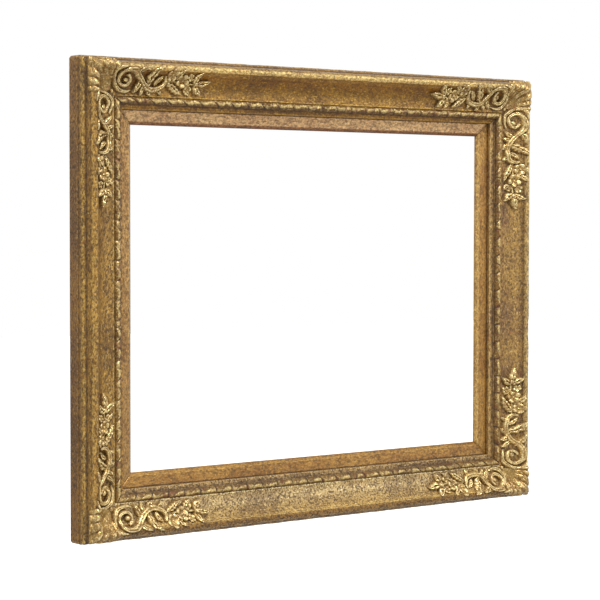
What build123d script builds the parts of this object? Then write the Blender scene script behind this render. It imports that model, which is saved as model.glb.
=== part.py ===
from build123d import *
import os
from math import cos, hypot, pi, radians, sin

# Ornate gilded picture frame. Millimetres. X runs along the frame, Z is up and the
# front faces -Y. The origin is the centre of the opening on the wall plane, y = 0.
# "Inset" is a distance in from the frame's outer edge, and "height" is a distance
# out from the wall plane towards the viewer.

os.makedirs("parts", exist_ok=True)

# Picture that the frame holds, and how the liner laps over it
PICTURE_WIDTH = 609.6
PICTURE_HEIGHT = 457.2
PICTURE_LAP = 6.3
PICTURE_PLAY = 0.8

# Moulding section: insets
TORUS_INSET = 6.5
COVE_INSET = 18.5
STRIP_INSET = 49.5
STRIP_WIDTH = 9.5
LIP_WIDTH = 6.5

# Moulding section: heights
SIDE_HEIGHT = 19.0
CREST_HEIGHT = 47.0
COVE_HEIGHT = 27.0
SEAT_HEIGHT = 24.5
LIP_HEIGHT = 22.5
LIP_FALL = 1.5

# Sight-edge strip
STRIP_RISE = 6.5
STRIP_PITCH = 25.4
NICK_RADIUS = 2.2
NICK_DEPTH = 1.3

# Liner
LINER_WIDTH = 25.0
LINER_THICKNESS = 12.0
LINER_SET_BACK = 3.0
LINER_GAP = 0.5
LINER_FALL = 1.5
BEVEL_WIDTH = 4.3
BEVEL_DROP = 3.5
REBATE_DEPTH = 4.6

# Carved ornament: how far an arm reaches, and how proud its parts stand
ARM_REACH = 190.0
VOLUTE_RADIUS = 14.0
VOLUTE_BAND = 5.0
EYE_RADIUS = 4.6
WEB_RELIEF = 2.2
LEAF_RELIEF = 4.4
RIDGE_RELIEF = 6.0
BLOSSOM_RADIUS = 8.0
BLOSSOM_PETALS = 5

# Corner wedges, liner points and their slots
V_NAIL_LEG = 8.0
V_NAIL_THICKNESS = 0.8
V_NAIL_DEPTH = 10.0
LINER_V_NAIL_DEPTH = 7.0
POINT_LENGTH = 15.0
POINT_WIDTH = 9.0
POINT_THICKNESS = 0.5
POINT_BITE = 7.0

# Turn buttons
BUTTON_LENGTH = 23.0
BUTTON_TAIL = 7.0
BUTTON_WIDTH = 10.0
BUTTON_THICKNESS = 1.4
BUTTON_GAP = 0.1
BUTTON_INSET = 69.5

# Screws
SCREW_RADIUS = 1.9
SCREW_HEAD_RADIUS = 3.5
SCREW_HEAD_HEIGHT = 1.2
BUTTON_SCREW_LENGTH = 8.5
HANGER_SCREW_LENGTH = 14.0
SCREW_SLOT = 0.8
RUNNING_GAP = 0.05

# Strap hangers with a ring each
HANGER_INSET = 30.0
STRAP_WIDTH = 12.0
STRAP_LENGTH = 46.0
STRAP_THICKNESS = 1.2
LOOP_WIDTH = 10.0
RING_WIRE = 2.5
RING_WIDTH = 22.0
RING_DROP = 17.0
RING_CORNER = 3.0
RING_LIFT = 2.8
HANGER_SCREW_DROP = 24.0
HANGER_SCREW_SPACING = 14.0

# One overrun for every cut
OVERRUN = 5.0

# Worked out from the sizes above
SIGHT_WIDTH = PICTURE_WIDTH - 2 * PICTURE_LAP
SIGHT_HEIGHT = PICTURE_HEIGHT - 2 * PICTURE_LAP
REBATE_INSET = STRIP_INSET + STRIP_WIDTH
LINER_INSET = REBATE_INSET + LINER_GAP
SIGHT_INSET = LINER_INSET + LINER_WIDTH
MOULDING_WIDTH = REBATE_INSET + LIP_WIDTH
LEDGE_INSET = SIGHT_INSET - PICTURE_LAP - PICTURE_PLAY
HALF_WIDTH = SIGHT_WIDTH / 2 + SIGHT_INSET
HALF_HEIGHT = SIGHT_HEIGHT / 2 + SIGHT_INSET
LIP_BACK = LINER_SET_BACK + LINER_THICKNESS
LEDGE_HEIGHT = LINER_SET_BACK + REBATE_DEPTH
PRISM_HEIGHT = CREST_HEIGHT + RIDGE_RELIEF + OVERRUN
WIRE_RADIUS = RING_WIRE / 2
LOOP_BORE = WIRE_RADIUS + RUNNING_GAP
SCREW_HOLE = SCREW_RADIUS + RUNNING_GAP

# Moulding section, as shares. Across, from the outer edge to the torus; up, of the
# side's height to the crest's height.
SIDE_STEP_SHARE = 0.12
BEAD_FOOT_SHARE = 0.16
BEAD_BULGE_SHARES = (0.25, 0.32)
BEAD_TOP_SHARES = (0.77, 0.41)
GROOVE_SHARES = (0.83, 0.46)
TORUS_FLANK_SHARES = (0.86, 0.62)
TORUS_FOOT_SHARE = 0.84
# Across the torus, and up from the cove's level to the crest
TORUS_CREST_SHARE = 0.5
TORUS_END_SHARES = (0.90, 0.73)
COVE_START_SHARE = 0.65
# The cove's arc passes this far across, and this far down to its level
COVE_MID_SHARES = (0.42, 0.83)
# The strip's edges stand up by this share of its rise
STRIP_EDGE_SHARE = 0.23

# Which way each side of the frame faces, as a unit step in X and Z
SIDES = {"bottom": (0, -1), "right": (1, 0), "top": (0, 1), "left": (-1, 0)}
# Which way each corner lies from the centre
CORNERS = {
    "top_left": (-1, 1),
    "top_right": (1, 1),
    "bottom_left": (-1, -1),
    "bottom_right": (1, -1),
}
ARMS = ("across", "upright")

# Places of the ornament, as shares: along the arm of its reach, and across the
# moulding of the inset where the strip starts
RIDGE_SHARES = (
    (0.274, 0.424), (0.305, 0.354), (0.347, 0.333), (0.395, 0.404), (0.442, 0.586),
    (0.484, 0.737), (0.532, 0.798), (0.584, 0.768), (0.621, 0.646), (0.632, 0.505),
)
RIDGE_WIDTH_SHARES = (0.35, 0.75, 1.0, 1.15, 1.25, 1.3, 1.3, 1.2, 0.9, 0.5)
CRESCENT_SHARES = ((0.247, 0.505), (0.260, 0.707), (0.295, 0.838), (0.342, 0.879))
CRESCENT_WIDTH_SHARES = (0.4, 0.8, 0.8, 0.35)
VOLUTE_SHARES = (0.326, 0.576)
# Each leaf: base, tip and its width as a share of its length
SCROLL_LEAF_SHARES = (
    ((0.500, 0.778), (0.563, 0.263), 0.34),
    ((0.437, 0.606), (0.411, 0.909), 0.42),
    ((0.484, 0.747), (0.463, 0.949), 0.50),
    ((0.547, 0.808), (0.532, 0.960), 0.60),
)
STEM_SHARES = ((0.650, 0.606), (0.705, 0.606), (0.789, 0.626), (0.874, 0.626), (0.926, 0.626))
STEM_WIDTH_SHARES = (0.6, 0.8, 0.8, 0.8, 0.6)
SPRAY_LEAF_SHARES = (
    ((0.674, 0.626), (0.768, 0.909), 0.40),
    ((0.716, 0.606), (0.684, 0.889), 0.45),
    ((0.747, 0.626), (0.774, 0.333), 0.45),
    ((0.884, 0.626), (0.911, 0.323), 0.55),
    ((0.884, 0.626), (1.000, 0.586), 0.42),
    ((0.884, 0.626), (0.937, 0.889), 0.55),
)
# Each blossom: its place, and its radius as a share of the blossom's radius
BLOSSOM_SHARES = (((0.689, 0.424), 1.0), ((0.789, 0.545), 1.1), ((0.847, 0.727), 0.9))
# The corner fan's rays, both ways in shares of the inset where the strip starts
FAN_BASE_SHARES = (0.81, 0.81)
FAN_TIP_SHARES = ((0.869, 0.242), (0.566, 0.182), (0.141, 0.141), (0.182, 0.566), (0.242, 0.869))
FAN_RAY_SHARE = 0.36
FAN_WEB_SHARES = ((0.90, 0.45), (0.30, 0.24), (0.24, 0.30), (0.45, 0.90), (0.92, 0.92))

# Places along the rails, as shares of the rail's half length
BUTTON_PLACE_SHARES = {"top": (0.56, -0.56), "bottom": (-0.56, 0.56), "left": (0,), "right": (0,)}
BUTTON_NAMES = {
    ("top", 0.56): "top_left", ("top", -0.56): "top_right",
    ("bottom", -0.56): "bottom_left", ("bottom", 0.56): "bottom_right",
    ("left", 0): "left", ("right", 0): "right",
}
POINT_PLACE_SHARES = {
    "top": (-0.72, -0.24, 0.24, 0.72), "bottom": (-0.72, -0.24, 0.24, 0.72),
    "left": (-0.4, 0.4), "right": (-0.4, 0.4),
}
# The corner wedges' insets, as shares of the moulding's and the liner's width
RAIL_V_NAIL_SHARES = (0.30, 0.64)
LINER_V_NAIL_SHARE = 0.26
# The hangers' height above the centre, as a share of half the frame's height
HANGER_RISE_SHARE = 0.40


def half_span(side):
    """Distance from the centre to a side's outer edge."""
    return HALF_HEIGHT if side in ("top", "bottom") else HALF_WIDTH


def half_run(side):
    """Half the length of a side's outer edge."""
    return HALF_WIDTH if side in ("top", "bottom") else HALF_HEIGHT


def along(side):
    """The unit step along a side, with the outward side on its right."""
    out_x, out_z = SIDES[side]
    return -out_z, out_x


def on_side(side, run, inset):
    """The X and Z of a place on a side: its run from the middle, and its inset."""
    out_x, out_z = SIDES[side]
    run_x, run_z = along(side)
    reach = half_span(side) - inset
    return out_x * reach + run_x * run, out_z * reach + run_z * run


def section_plane(side):
    """The plane that a side's section is drawn on: inset along x, height along y."""
    out_x, out_z = SIDES[side]
    run_x, run_z = along(side)
    middle_x, middle_z = on_side(side, 0, 0)
    return Plane(origin=(middle_x, 0, middle_z), x_dir=(-out_x, 0, -out_z), z_dir=(run_x, 0, run_z))


def mitre_prism(side):
    """The wedge of the frame that belongs to one side, between its two mitres."""
    run, reach = half_run(side), SIGHT_INSET + OVERRUN
    with BuildPart() as wedge:
        with BuildSketch(Plane.XZ.offset(-OVERRUN)):
            with BuildLine():
                Polyline(
                    on_side(side, -run, 0),
                    on_side(side, run, 0),
                    on_side(side, run - reach, reach),
                    on_side(side, reach - run, reach),
                    close=True,
                )
            make_face()
        extrude(amount=PRISM_HEIGHT + 2 * OVERRUN)
    return wedge.part


def side_level(share):
    """A height between the flat side's top and the crest."""
    return SIDE_HEIGHT + share * (CREST_HEIGHT - SIDE_HEIGHT)


def cove_level(share):
    """A height between the cove's level and the crest."""
    return COVE_HEIGHT + share * (CREST_HEIGHT - COVE_HEIGHT)


def draw_front(lift):
    """Torus and cove of the section, lifted off the moulding; returns both ends."""
    torus_width = COVE_INSET - TORUS_INSET
    cove_width = STRIP_INSET - COVE_INSET
    foot = (TORUS_INSET, side_level(TORUS_FOOT_SHARE) + lift)
    crest = (TORUS_INSET + TORUS_CREST_SHARE * torus_width, CREST_HEIGHT + lift)
    end_across, end_up = TORUS_END_SHARES
    torus_end = (TORUS_INSET + end_across * torus_width, cove_level(end_up) + lift)
    cove_start = (COVE_INSET, cove_level(COVE_START_SHARE) + lift)
    mid_across, mid_down = COVE_MID_SHARES
    cove_drop = cove_level(COVE_START_SHARE) - COVE_HEIGHT
    cove_middle = (
        COVE_INSET + mid_across * cove_width,
        COVE_HEIGHT + (1 - mid_down) * cove_drop + lift,
    )
    cove_end = (STRIP_INSET, COVE_HEIGHT + lift)
    ThreePointArc(foot, crest, torus_end)
    Line(torus_end, cove_start)
    ThreePointArc(cove_start, cove_middle, cove_end)
    return foot, cove_end


def moulding_bar(side):
    """One side of the moulding before its mitres and slots."""
    bulge_across, bulge_up = BEAD_BULGE_SHARES
    top_across, top_up = BEAD_TOP_SHARES
    groove_across, groove_up = GROOVE_SHARES
    flank_across, flank_up = TORUS_FLANK_SHARES
    step = SIDE_STEP_SHARE * TORUS_INSET
    with BuildPart() as bar:
        with BuildSketch(section_plane(side)):
            with BuildLine():
                foot, cove_end = draw_front(0)
                bead_foot = (step, side_level(BEAD_FOOT_SHARE))
                bead_top = (top_across * TORUS_INSET, side_level(top_up))
                Polyline((0, 0), (0, SIDE_HEIGHT), (step, SIDE_HEIGHT), bead_foot)
                ThreePointArc(
                    bead_foot,
                    (bulge_across * TORUS_INSET, side_level(bulge_up)),
                    bead_top,
                )
                groove = (groove_across * TORUS_INSET, side_level(groove_up))
                Line(bead_top, groove)
                flank = (flank_across * TORUS_INSET, side_level(flank_up))
                ThreePointArc(groove, flank, foot)
                Polyline(
                    cove_end,
                    (STRIP_INSET, SEAT_HEIGHT),
                    (REBATE_INSET, SEAT_HEIGHT),
                    (REBATE_INSET, LIP_HEIGHT),
                    (MOULDING_WIDTH, LIP_HEIGHT - LIP_FALL),
                    (MOULDING_WIDTH, LIP_BACK),
                    (REBATE_INSET, LIP_BACK),
                    (REBATE_INSET, 0),
                    (0, 0),
                )
            make_face()
        extrude(amount=half_run(side), both=True)
    return bar.part


def relief_skin(side, relief):
    """The skin of one height that lies on a side's torus and cove, up to its mitres."""
    with BuildPart() as skin:
        with BuildSketch(section_plane(side)):
            with BuildLine():
                low_foot, low_end = draw_front(0)
                high_foot, high_end = draw_front(relief)
                Line(low_foot, high_foot)
                Line(low_end, high_end)
            make_face()
        extrude(amount=half_run(side), both=True)
        add(MITRES[side], mode=Mode.INTERSECT)
    return skin.part


def arm_place(corner, arm):
    """A function from (along, inset) at a corner's arm to X and Z."""
    sign_x, sign_z = CORNERS[corner]

    def place(run, inset):
        across_x, across_z = (run, inset) if arm == "across" else (inset, run)
        return sign_x * (HALF_WIDTH - across_x), sign_z * (HALF_HEIGHT - across_z)

    return place


def arm_side(corner, arm):
    """The side of the frame that an arm lies on."""
    upright, level = corner.split("_")[1], corner.split("_")[0]
    return level if arm == "across" else upright


def arm_point(shares):
    """A place on an arm from its two shares."""
    run_share, inset_share = shares
    return run_share * ARM_REACH, inset_share * STRIP_INSET


def fan_point(shares):
    """A place on the corner fan from its two shares."""
    return shares[0] * STRIP_INSET, shares[1] * STRIP_INSET


def draw_leaf(place, base, tip, width_share):
    """One pointed leaf between two arcs, drawn in the sketch at work."""
    run, rise = tip[0] - base[0], tip[1] - base[1]
    bulge = width_share / 2
    middle = ((base[0] + tip[0]) / 2, (base[1] + tip[1]) / 2)
    side_a = (middle[0] - rise * bulge, middle[1] + run * bulge)
    side_b = (middle[0] + rise * bulge, middle[1] - run * bulge)
    with BuildLine() as outline:
        ThreePointArc(place(*base), place(*side_a), place(*tip))
        ThreePointArc(place(*tip), place(*side_b), place(*base))
    make_face(outline.edges())


def draw_band(place, points, widths):
    """A band of changing width along a smooth line of points."""
    left, right = [], []
    for index, (run, inset) in enumerate(points):
        before, after = points[max(index - 1, 0)], points[min(index + 1, len(points) - 1)]
        step_run, step_inset = after[0] - before[0], after[1] - before[1]
        half = widths[index] / 2 / hypot(step_run, step_inset)
        left.append(place(run - step_inset * half, inset + step_run * half))
        right.append(place(run + step_inset * half, inset - step_run * half))
    with BuildLine() as outline:
        Spline(*left)
        Line(left[-1], right[-1])
        Spline(*reversed(right))
        Line(right[0], left[0])
    make_face(outline.edges())


def draw_blossom(place, centre, radius):
    """Round petals about a round heart."""
    petal_radius = radius / 2
    spots = [
        place(
            centre[0] + petal_radius * cos(2 * pi * petal / BLOSSOM_PETALS),
            centre[1] + petal_radius * sin(2 * pi * petal / BLOSSOM_PETALS),
        )
        for petal in range(BLOSSOM_PETALS)
    ]
    with Locations(*spots):
        Circle(petal_radius)
    with Locations(place(*centre)):
        Circle(petal_radius)


def laid_on(plan, skin):
    """A plan outline pushed through a skin of the moulding."""
    with BuildPart() as piece:
        with BuildSketch(Plane.XZ):
            add(plan)
        extrude(amount=PRISM_HEIGHT)
        add(skin, mode=Mode.INTERSECT)
    return piece.part


def screw(head_plane, length):
    """A slotted round-head screw; its plane lies under the head, facing out."""
    slot_depth = SCREW_HEAD_HEIGHT / 2
    with BuildPart() as fastener:
        with BuildSketch(head_plane):
            Circle(SCREW_HEAD_RADIUS)
        extrude(amount=SCREW_HEAD_HEIGHT)
        with BuildSketch(head_plane):
            Circle(SCREW_RADIUS)
        extrude(amount=-length)
        with BuildSketch(head_plane.offset(SCREW_HEAD_HEIGHT - slot_depth)):
            Rectangle(2 * SCREW_HEAD_RADIUS + OVERRUN, SCREW_SLOT)
        extrude(amount=slot_depth + OVERRUN, mode=Mode.SUBTRACT)
    return fastener.part


def back_plane(run, height_z, back):
    """A plane facing the wall at a place on the back."""
    return Plane(origin=(run, back, height_z), x_dir=(-1, 0, 0), z_dir=(0, 1, 0))


MITRES = {side: mitre_prism(side) for side in SIDES}

# Corner wedges: an L of thin steel at each place, a leg in each rail
moulding_wedge_insets = [share * MOULDING_WIDTH for share in RAIL_V_NAIL_SHARES]
liner_wedge_inset = LINER_INSET + LINER_V_NAIL_SHARE * LINER_WIDTH


def draw_wedge(corner, inset):
    """The plan of one corner wedge, with its bend on the mitre."""
    place = arm_place(corner, "across")
    far, thick = inset + V_NAIL_LEG, inset + V_NAIL_THICKNESS
    with BuildLine() as outline:
        Polyline(
            place(inset, inset), place(far, inset), place(far, thick),
            place(thick, thick), place(thick, far), place(inset, far),
            close=True,
        )
    make_face(outline.edges())


with BuildPart() as rail_v_nails:
    with BuildSketch(Plane.XZ):
        for corner in CORNERS:
            for inset in moulding_wedge_insets:
                draw_wedge(corner, inset)
    extrude(amount=V_NAIL_DEPTH)
rail_v_nails.part.label = "rail_v_nails"

with BuildPart() as liner_v_nails:
    with BuildSketch(Plane.XZ.offset(LINER_SET_BACK)):
        for corner in CORNERS:
            draw_wedge(corner, liner_wedge_inset)
    extrude(amount=LINER_V_NAIL_DEPTH)
liner_v_nails.part.label = "liner_v_nails"

# Thin points that pin the liner: they lie on its back and bite into the moulding
with BuildPart() as liner_points:
    for side, places in POINT_PLACE_SHARES.items():
        with BuildSketch(Plane.XZ.offset(LINER_SET_BACK - POINT_THICKNESS)):
            for share in places:
                run = share * half_run(side)
                start = REBATE_INSET - POINT_BITE
                with BuildLine():
                    Polyline(
                        on_side(side, run, start),
                        on_side(side, run + POINT_WIDTH / 2, REBATE_INSET),
                        on_side(side, run + POINT_WIDTH / 2, start + POINT_LENGTH),
                        on_side(side, run - POINT_WIDTH / 2, start + POINT_LENGTH),
                        on_side(side, run - POINT_WIDTH / 2, REBATE_INSET),
                        close=True,
                    )
                make_face()
        extrude(amount=POINT_THICKNESS)
liner_points.part.label = "liner_points"

# Screws
button_spots = {}
for side, places in BUTTON_PLACE_SHARES.items():
    for share in places:
        spot = on_side(side, share * half_run(side), BUTTON_INSET)
        button_spots[BUTTON_NAMES[side, share]] = (side, spot)

button_back = BUTTON_GAP - LINER_SET_BACK
head_seat = button_back + BUTTON_THICKNESS + BUTTON_GAP
button_screws = [screw(back_plane(spot[0], spot[1], head_seat), BUTTON_SCREW_LENGTH)
                 for side, spot in button_spots.values()]
with BuildPart() as turn_button_screws:
    for fastener in button_screws:
        add(fastener)
turn_button_screws.part.label = "turn_button_screws"

hanger_x = {"left": HANGER_INSET - HALF_WIDTH, "right": HALF_WIDTH - HANGER_INSET}
hanger_z = HANGER_RISE_SHARE * HALF_HEIGHT
hanger_screw_drops = (HANGER_SCREW_DROP, HANGER_SCREW_DROP + HANGER_SCREW_SPACING)
hanger_fasteners = [screw(back_plane(middle, hanger_z - drop, STRAP_THICKNESS), HANGER_SCREW_LENGTH)
                    for middle in hanger_x.values() for drop in hanger_screw_drops]
with BuildPart() as hanger_screws:
    for fastener in hanger_fasteners:
        add(fastener)
hanger_screws.part.label = "hanger_screws"

# The four mitred rails, with slots for wedges and points and holes for screws
for side in SIDES:
    bar = moulding_bar(side)
    with BuildPart() as rail:
        add(bar)
        add(MITRES[side], mode=Mode.INTERSECT)
        add(rail_v_nails.part, mode=Mode.SUBTRACT)
        add(liner_points.part, mode=Mode.SUBTRACT)
        if side in hanger_x:
            spots = [(hanger_x[side], hanger_z - drop) for drop in hanger_screw_drops]
            with BuildSketch(Plane.XZ.offset(-OVERRUN)):
                with Locations(*spots):
                    Circle(SCREW_HOLE)
            extrude(amount=HANGER_SCREW_LENGTH + OVERRUN, mode=Mode.SUBTRACT)
    rail.part.label = "rail_" + side
    export_step(rail.part, "parts/rail_" + side + ".step")

# The running strip on the sight edge, nicked at an even pitch
for side in SIDES:
    strip_run = half_run(side) - STRIP_INSET
    nick_count = round(2 * strip_run / STRIP_PITCH)
    nick_pitch = 2 * strip_run / nick_count
    nick_height = SEAT_HEIGHT + STRIP_RISE - NICK_DEPTH + NICK_RADIUS
    with BuildPart() as strip:
        with BuildSketch(section_plane(side)):
            with BuildLine():
                edge_height = SEAT_HEIGHT + STRIP_EDGE_SHARE * STRIP_RISE
                EllipticalCenterArc(
                    ((STRIP_INSET + REBATE_INSET) / 2, edge_height),
                    STRIP_WIDTH / 2,
                    SEAT_HEIGHT + STRIP_RISE - edge_height,
                    arc_size=180,
                )
                Polyline(
                    (REBATE_INSET, edge_height),
                    (REBATE_INSET, SEAT_HEIGHT),
                    (STRIP_INSET, SEAT_HEIGHT),
                    (STRIP_INSET, edge_height),
                )
            make_face()
        extrude(amount=half_run(side), both=True)
        add(MITRES[side], mode=Mode.INTERSECT)
        out_x, out_z = SIDES[side]
        run_x, run_z = along(side)
        start_x, start_z = on_side(side, 0, STRIP_INSET - OVERRUN)
        with BuildSketch(Plane(origin=(start_x, 0, start_z), x_dir=(run_x, 0, run_z),
                               z_dir=(-out_x, 0, -out_z))) as nicks:
            spots = [
                ((index + 1 / 2) * nick_pitch - strip_run, nick_height)
                for index in range(nick_count)
            ]
            side_sign = nicks.workplanes[0].y_dir.Y
            with Locations(*[(place, -side_sign * level) for place, level in spots]):
                Circle(NICK_RADIUS)
        extrude(amount=STRIP_WIDTH + 2 * OVERRUN, mode=Mode.SUBTRACT)
    strip.part.label = "sight_strip_" + side
    export_step(strip.part, "parts/sight_strip_" + side + ".step")

# The four mitred liner rails, with a bevel at the sight edge and a rebate behind it
for side in SIDES:
    with BuildPart() as liner:
        with BuildSketch(section_plane(side)):
            with BuildLine():
                Polyline(
                    (LINER_INSET, LINER_SET_BACK),
                    (LINER_INSET, LIP_BACK),
                    (MOULDING_WIDTH, LIP_BACK),
                    (SIGHT_INSET - BEVEL_WIDTH, LIP_BACK - LINER_FALL),
                    (SIGHT_INSET, LIP_BACK - LINER_FALL - BEVEL_DROP),
                    (SIGHT_INSET, LEDGE_HEIGHT),
                    (LEDGE_INSET, LEDGE_HEIGHT),
                    (LEDGE_INSET, LINER_SET_BACK),
                    close=True,
                )
            make_face()
        extrude(amount=half_run(side), both=True)
        add(MITRES[side], mode=Mode.INTERSECT)
        add(liner_v_nails.part, mode=Mode.SUBTRACT)
        spots = [spot for name, (button_side, spot) in button_spots.items() if button_side == side]
        with BuildSketch(Plane.XZ):
            with Locations(*spots):
                Circle(SCREW_HOLE)
        extrude(amount=BUTTON_SCREW_LENGTH - head_seat, mode=Mode.SUBTRACT)
    liner.part.label = "liner_" + side
    export_step(liner.part, "parts/liner_" + side + ".step")

# Corner fans: rays spread from the sight corner over the torus, on a smooth web
leaf_skins = {side: relief_skin(side, LEAF_RELIEF) for side in SIDES}
web_skins = {side: relief_skin(side, WEB_RELIEF) for side in SIDES}
ridge_skins = {side: relief_skin(side, RIDGE_RELIEF) for side in SIDES}

corner_fans = {}
for corner in CORNERS:
    place = arm_place(corner, "across")
    sides = (arm_side(corner, "across"), arm_side(corner, "upright"))
    with BuildSketch(Plane.XZ) as rays:
        for tip in FAN_TIP_SHARES:
            draw_leaf(place, fan_point(FAN_BASE_SHARES), fan_point(tip), FAN_RAY_SHARE)
    with BuildSketch(Plane.XZ) as web:
        with BuildLine():
            Polyline(*[place(*fan_point(shares)) for shares in FAN_WEB_SHARES], close=True)
        make_face()
    pieces = [laid_on(rays.sketch, leaf_skins[side]) for side in sides]
    pieces += [laid_on(web.sketch, web_skins[side]) for side in sides]
    with BuildPart() as fan:
        for piece in pieces:
            add(piece)
    fan.part.label = "corner_leaf_" + corner
    export_step(fan.part, "parts/corner_leaf_" + corner + ".step")
    corner_fans[corner] = fan.part

# Scrolls and flower sprays: one of each on both arms of every corner
for corner in CORNERS:
    for arm in ARMS:
        place = arm_place(corner, arm)
        side = arm_side(corner, arm)
        centre = place(*arm_point(VOLUTE_SHARES))
        with BuildSketch(Plane.XZ) as ridges:
            draw_band(place, [arm_point(shares) for shares in RIDGE_SHARES],
                      [share * VOLUTE_BAND for share in RIDGE_WIDTH_SHARES])
            draw_band(place, [arm_point(shares) for shares in CRESCENT_SHARES],
                      [share * VOLUTE_BAND for share in CRESCENT_WIDTH_SHARES])
            with Locations(centre):
                Circle(VOLUTE_RADIUS)
                Circle(VOLUTE_RADIUS - VOLUTE_BAND, mode=Mode.SUBTRACT)
                Circle(EYE_RADIUS)
        with BuildSketch(Plane.XZ) as scroll_leaves:
            for base, tip, width_share in SCROLL_LEAF_SHARES:
                draw_leaf(place, arm_point(base), arm_point(tip), width_share)
        with BuildSketch(Plane.XZ) as scroll_web:
            with Locations(centre):
                Circle(VOLUTE_RADIUS - VOLUTE_BAND / 2)
        pieces = [
            laid_on(ridges.sketch, ridge_skins[side]),
            laid_on(scroll_leaves.sketch, leaf_skins[side]),
            laid_on(scroll_web.sketch, web_skins[side]),
        ]
        with BuildPart() as scroll:
            for piece in pieces:
                add(piece)
            add(corner_fans[corner], mode=Mode.SUBTRACT)
        scroll_name = "scroll_" + corner + "_" + arm
        scroll.part.label = scroll_name
        export_step(scroll.part, "parts/" + scroll_name + ".step")

        with BuildSketch(Plane.XZ) as stem:
            draw_band(place, [arm_point(shares) for shares in STEM_SHARES],
                      [share * VOLUTE_BAND for share in STEM_WIDTH_SHARES])
        with BuildSketch(Plane.XZ) as leaves:
            for base, tip, width_share in SPRAY_LEAF_SHARES:
                draw_leaf(place, arm_point(base), arm_point(tip), width_share)
        with BuildSketch(Plane.XZ) as blossoms:
            for spot, size_share in BLOSSOM_SHARES:
                draw_blossom(place, arm_point(spot), size_share * BLOSSOM_RADIUS)
        pieces = [
            laid_on(stem.sketch, web_skins[side]),
            laid_on(leaves.sketch, leaf_skins[side]),
            laid_on(blossoms.sketch, ridge_skins[side]),
        ]
        with BuildPart() as spray:
            for piece in pieces:
                add(piece)
            add(scroll.part, mode=Mode.SUBTRACT)
        spray_name = "flower_spray_" + corner + "_" + arm
        spray.part.label = spray_name
        export_step(spray.part, "parts/" + spray_name + ".step")

# Turn buttons: a slotted plate each, pivoted near its tail, lying along the liner
for name, (side, spot) in button_spots.items():
    run_x, run_z = along(side)
    with BuildPart() as button:
        with BuildSketch(Plane(origin=(spot[0], button_back, spot[1]), x_dir=(run_x, 0, run_z),
                               z_dir=(0, 1, 0))):
            with Locations((BUTTON_LENGTH / 2 - BUTTON_TAIL, 0)):
                SlotOverall(BUTTON_LENGTH, BUTTON_WIDTH)
            Circle(SCREW_HOLE, mode=Mode.SUBTRACT)
        extrude(amount=BUTTON_THICKNESS)
    button.part.label = "turn_button_" + name
    export_step(button.part, "parts/turn_button_" + name + ".step")

# Strap hangers: a strap with a loop at its top end, and a ring through the loop
for name, middle in hanger_x.items():
    with BuildPart() as plate:
        with BuildSketch(Plane(origin=(middle, 0, hanger_z), x_dir=(1, 0, 0),
                               z_dir=(0, 1, 0))) as outline:
            down_sign = -outline.workplanes[0].y_dir.Z
            with Locations((0, down_sign * STRAP_LENGTH / 2)):
                RectangleRounded(STRAP_WIDTH, STRAP_LENGTH, STRAP_WIDTH / 3)
            with Locations(*[(0, down_sign * drop) for drop in hanger_screw_drops]):
                Circle(SCREW_HOLE, mode=Mode.SUBTRACT)
        extrude(amount=STRAP_THICKNESS)
        with BuildSketch(Plane.YZ.offset(middle)):
            with Locations((RING_LIFT, hanger_z)):
                Circle(LOOP_BORE + STRAP_THICKNESS)
        extrude(amount=LOOP_WIDTH / 2, both=True)
        with BuildSketch(Plane.YZ.offset(middle)):
            with Locations((RING_LIFT, hanger_z)):
                Circle(LOOP_BORE)
        extrude(amount=LOOP_WIDTH, both=True, mode=Mode.SUBTRACT)
        with BuildSketch(Plane.XZ):
            with Locations((middle, hanger_z)):
                Rectangle(STRAP_WIDTH + OVERRUN, 4 * LOOP_BORE)
        extrude(amount=PRISM_HEIGHT, mode=Mode.SUBTRACT)
    plate.part.label = "hanger_plate_" + name
    export_step(plate.part, "parts/hanger_plate_" + name + ".step")

    ring_plane = Plane(origin=(middle, RING_LIFT, hanger_z), x_dir=(1, 0, 0), z_dir=(0, -1, 0))
    half_ring = RING_WIDTH / 2
    shoulder = half_ring - RING_CORNER
    bend_drop = RING_DROP - half_ring
    corner_reach = RING_CORNER * (1 - cos(radians(45)))
    with BuildPart() as ring:
        with BuildLine(ring_plane) as wire:
            bar = Line((0, 0), (shoulder, 0))
            turn = ThreePointArc(
                (shoulder, 0),
                (half_ring - corner_reach, -corner_reach),
                (half_ring, -RING_CORNER),
            )
            drop = Line((half_ring, -RING_CORNER), (half_ring, -bend_drop))
            bow = CenterArc((0, -bend_drop), half_ring, 0, -90)
        with BuildSketch(Plane(origin=(middle, RING_LIFT, hanger_z), x_dir=(0, 1, 0),
                               z_dir=(1, 0, 0))):
            Circle(WIRE_RADIUS)
        sweep(path=wire.line)
        mirror(about=Plane.YZ.offset(middle))
    ring.part.label = "hanger_ring_" + name
    export_step(ring.part, "parts/hanger_ring_" + name + ".step")

for fastening in (rail_v_nails, liner_v_nails, liner_points, turn_button_screws, hanger_screws):
    export_step(fastening.part, "parts/" + fastening.part.label + ".step")
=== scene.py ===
import logging
from dataclasses import dataclass
from enum import Enum

import bpy
import numpy as np
from mathutils import Matrix, Vector


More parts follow.
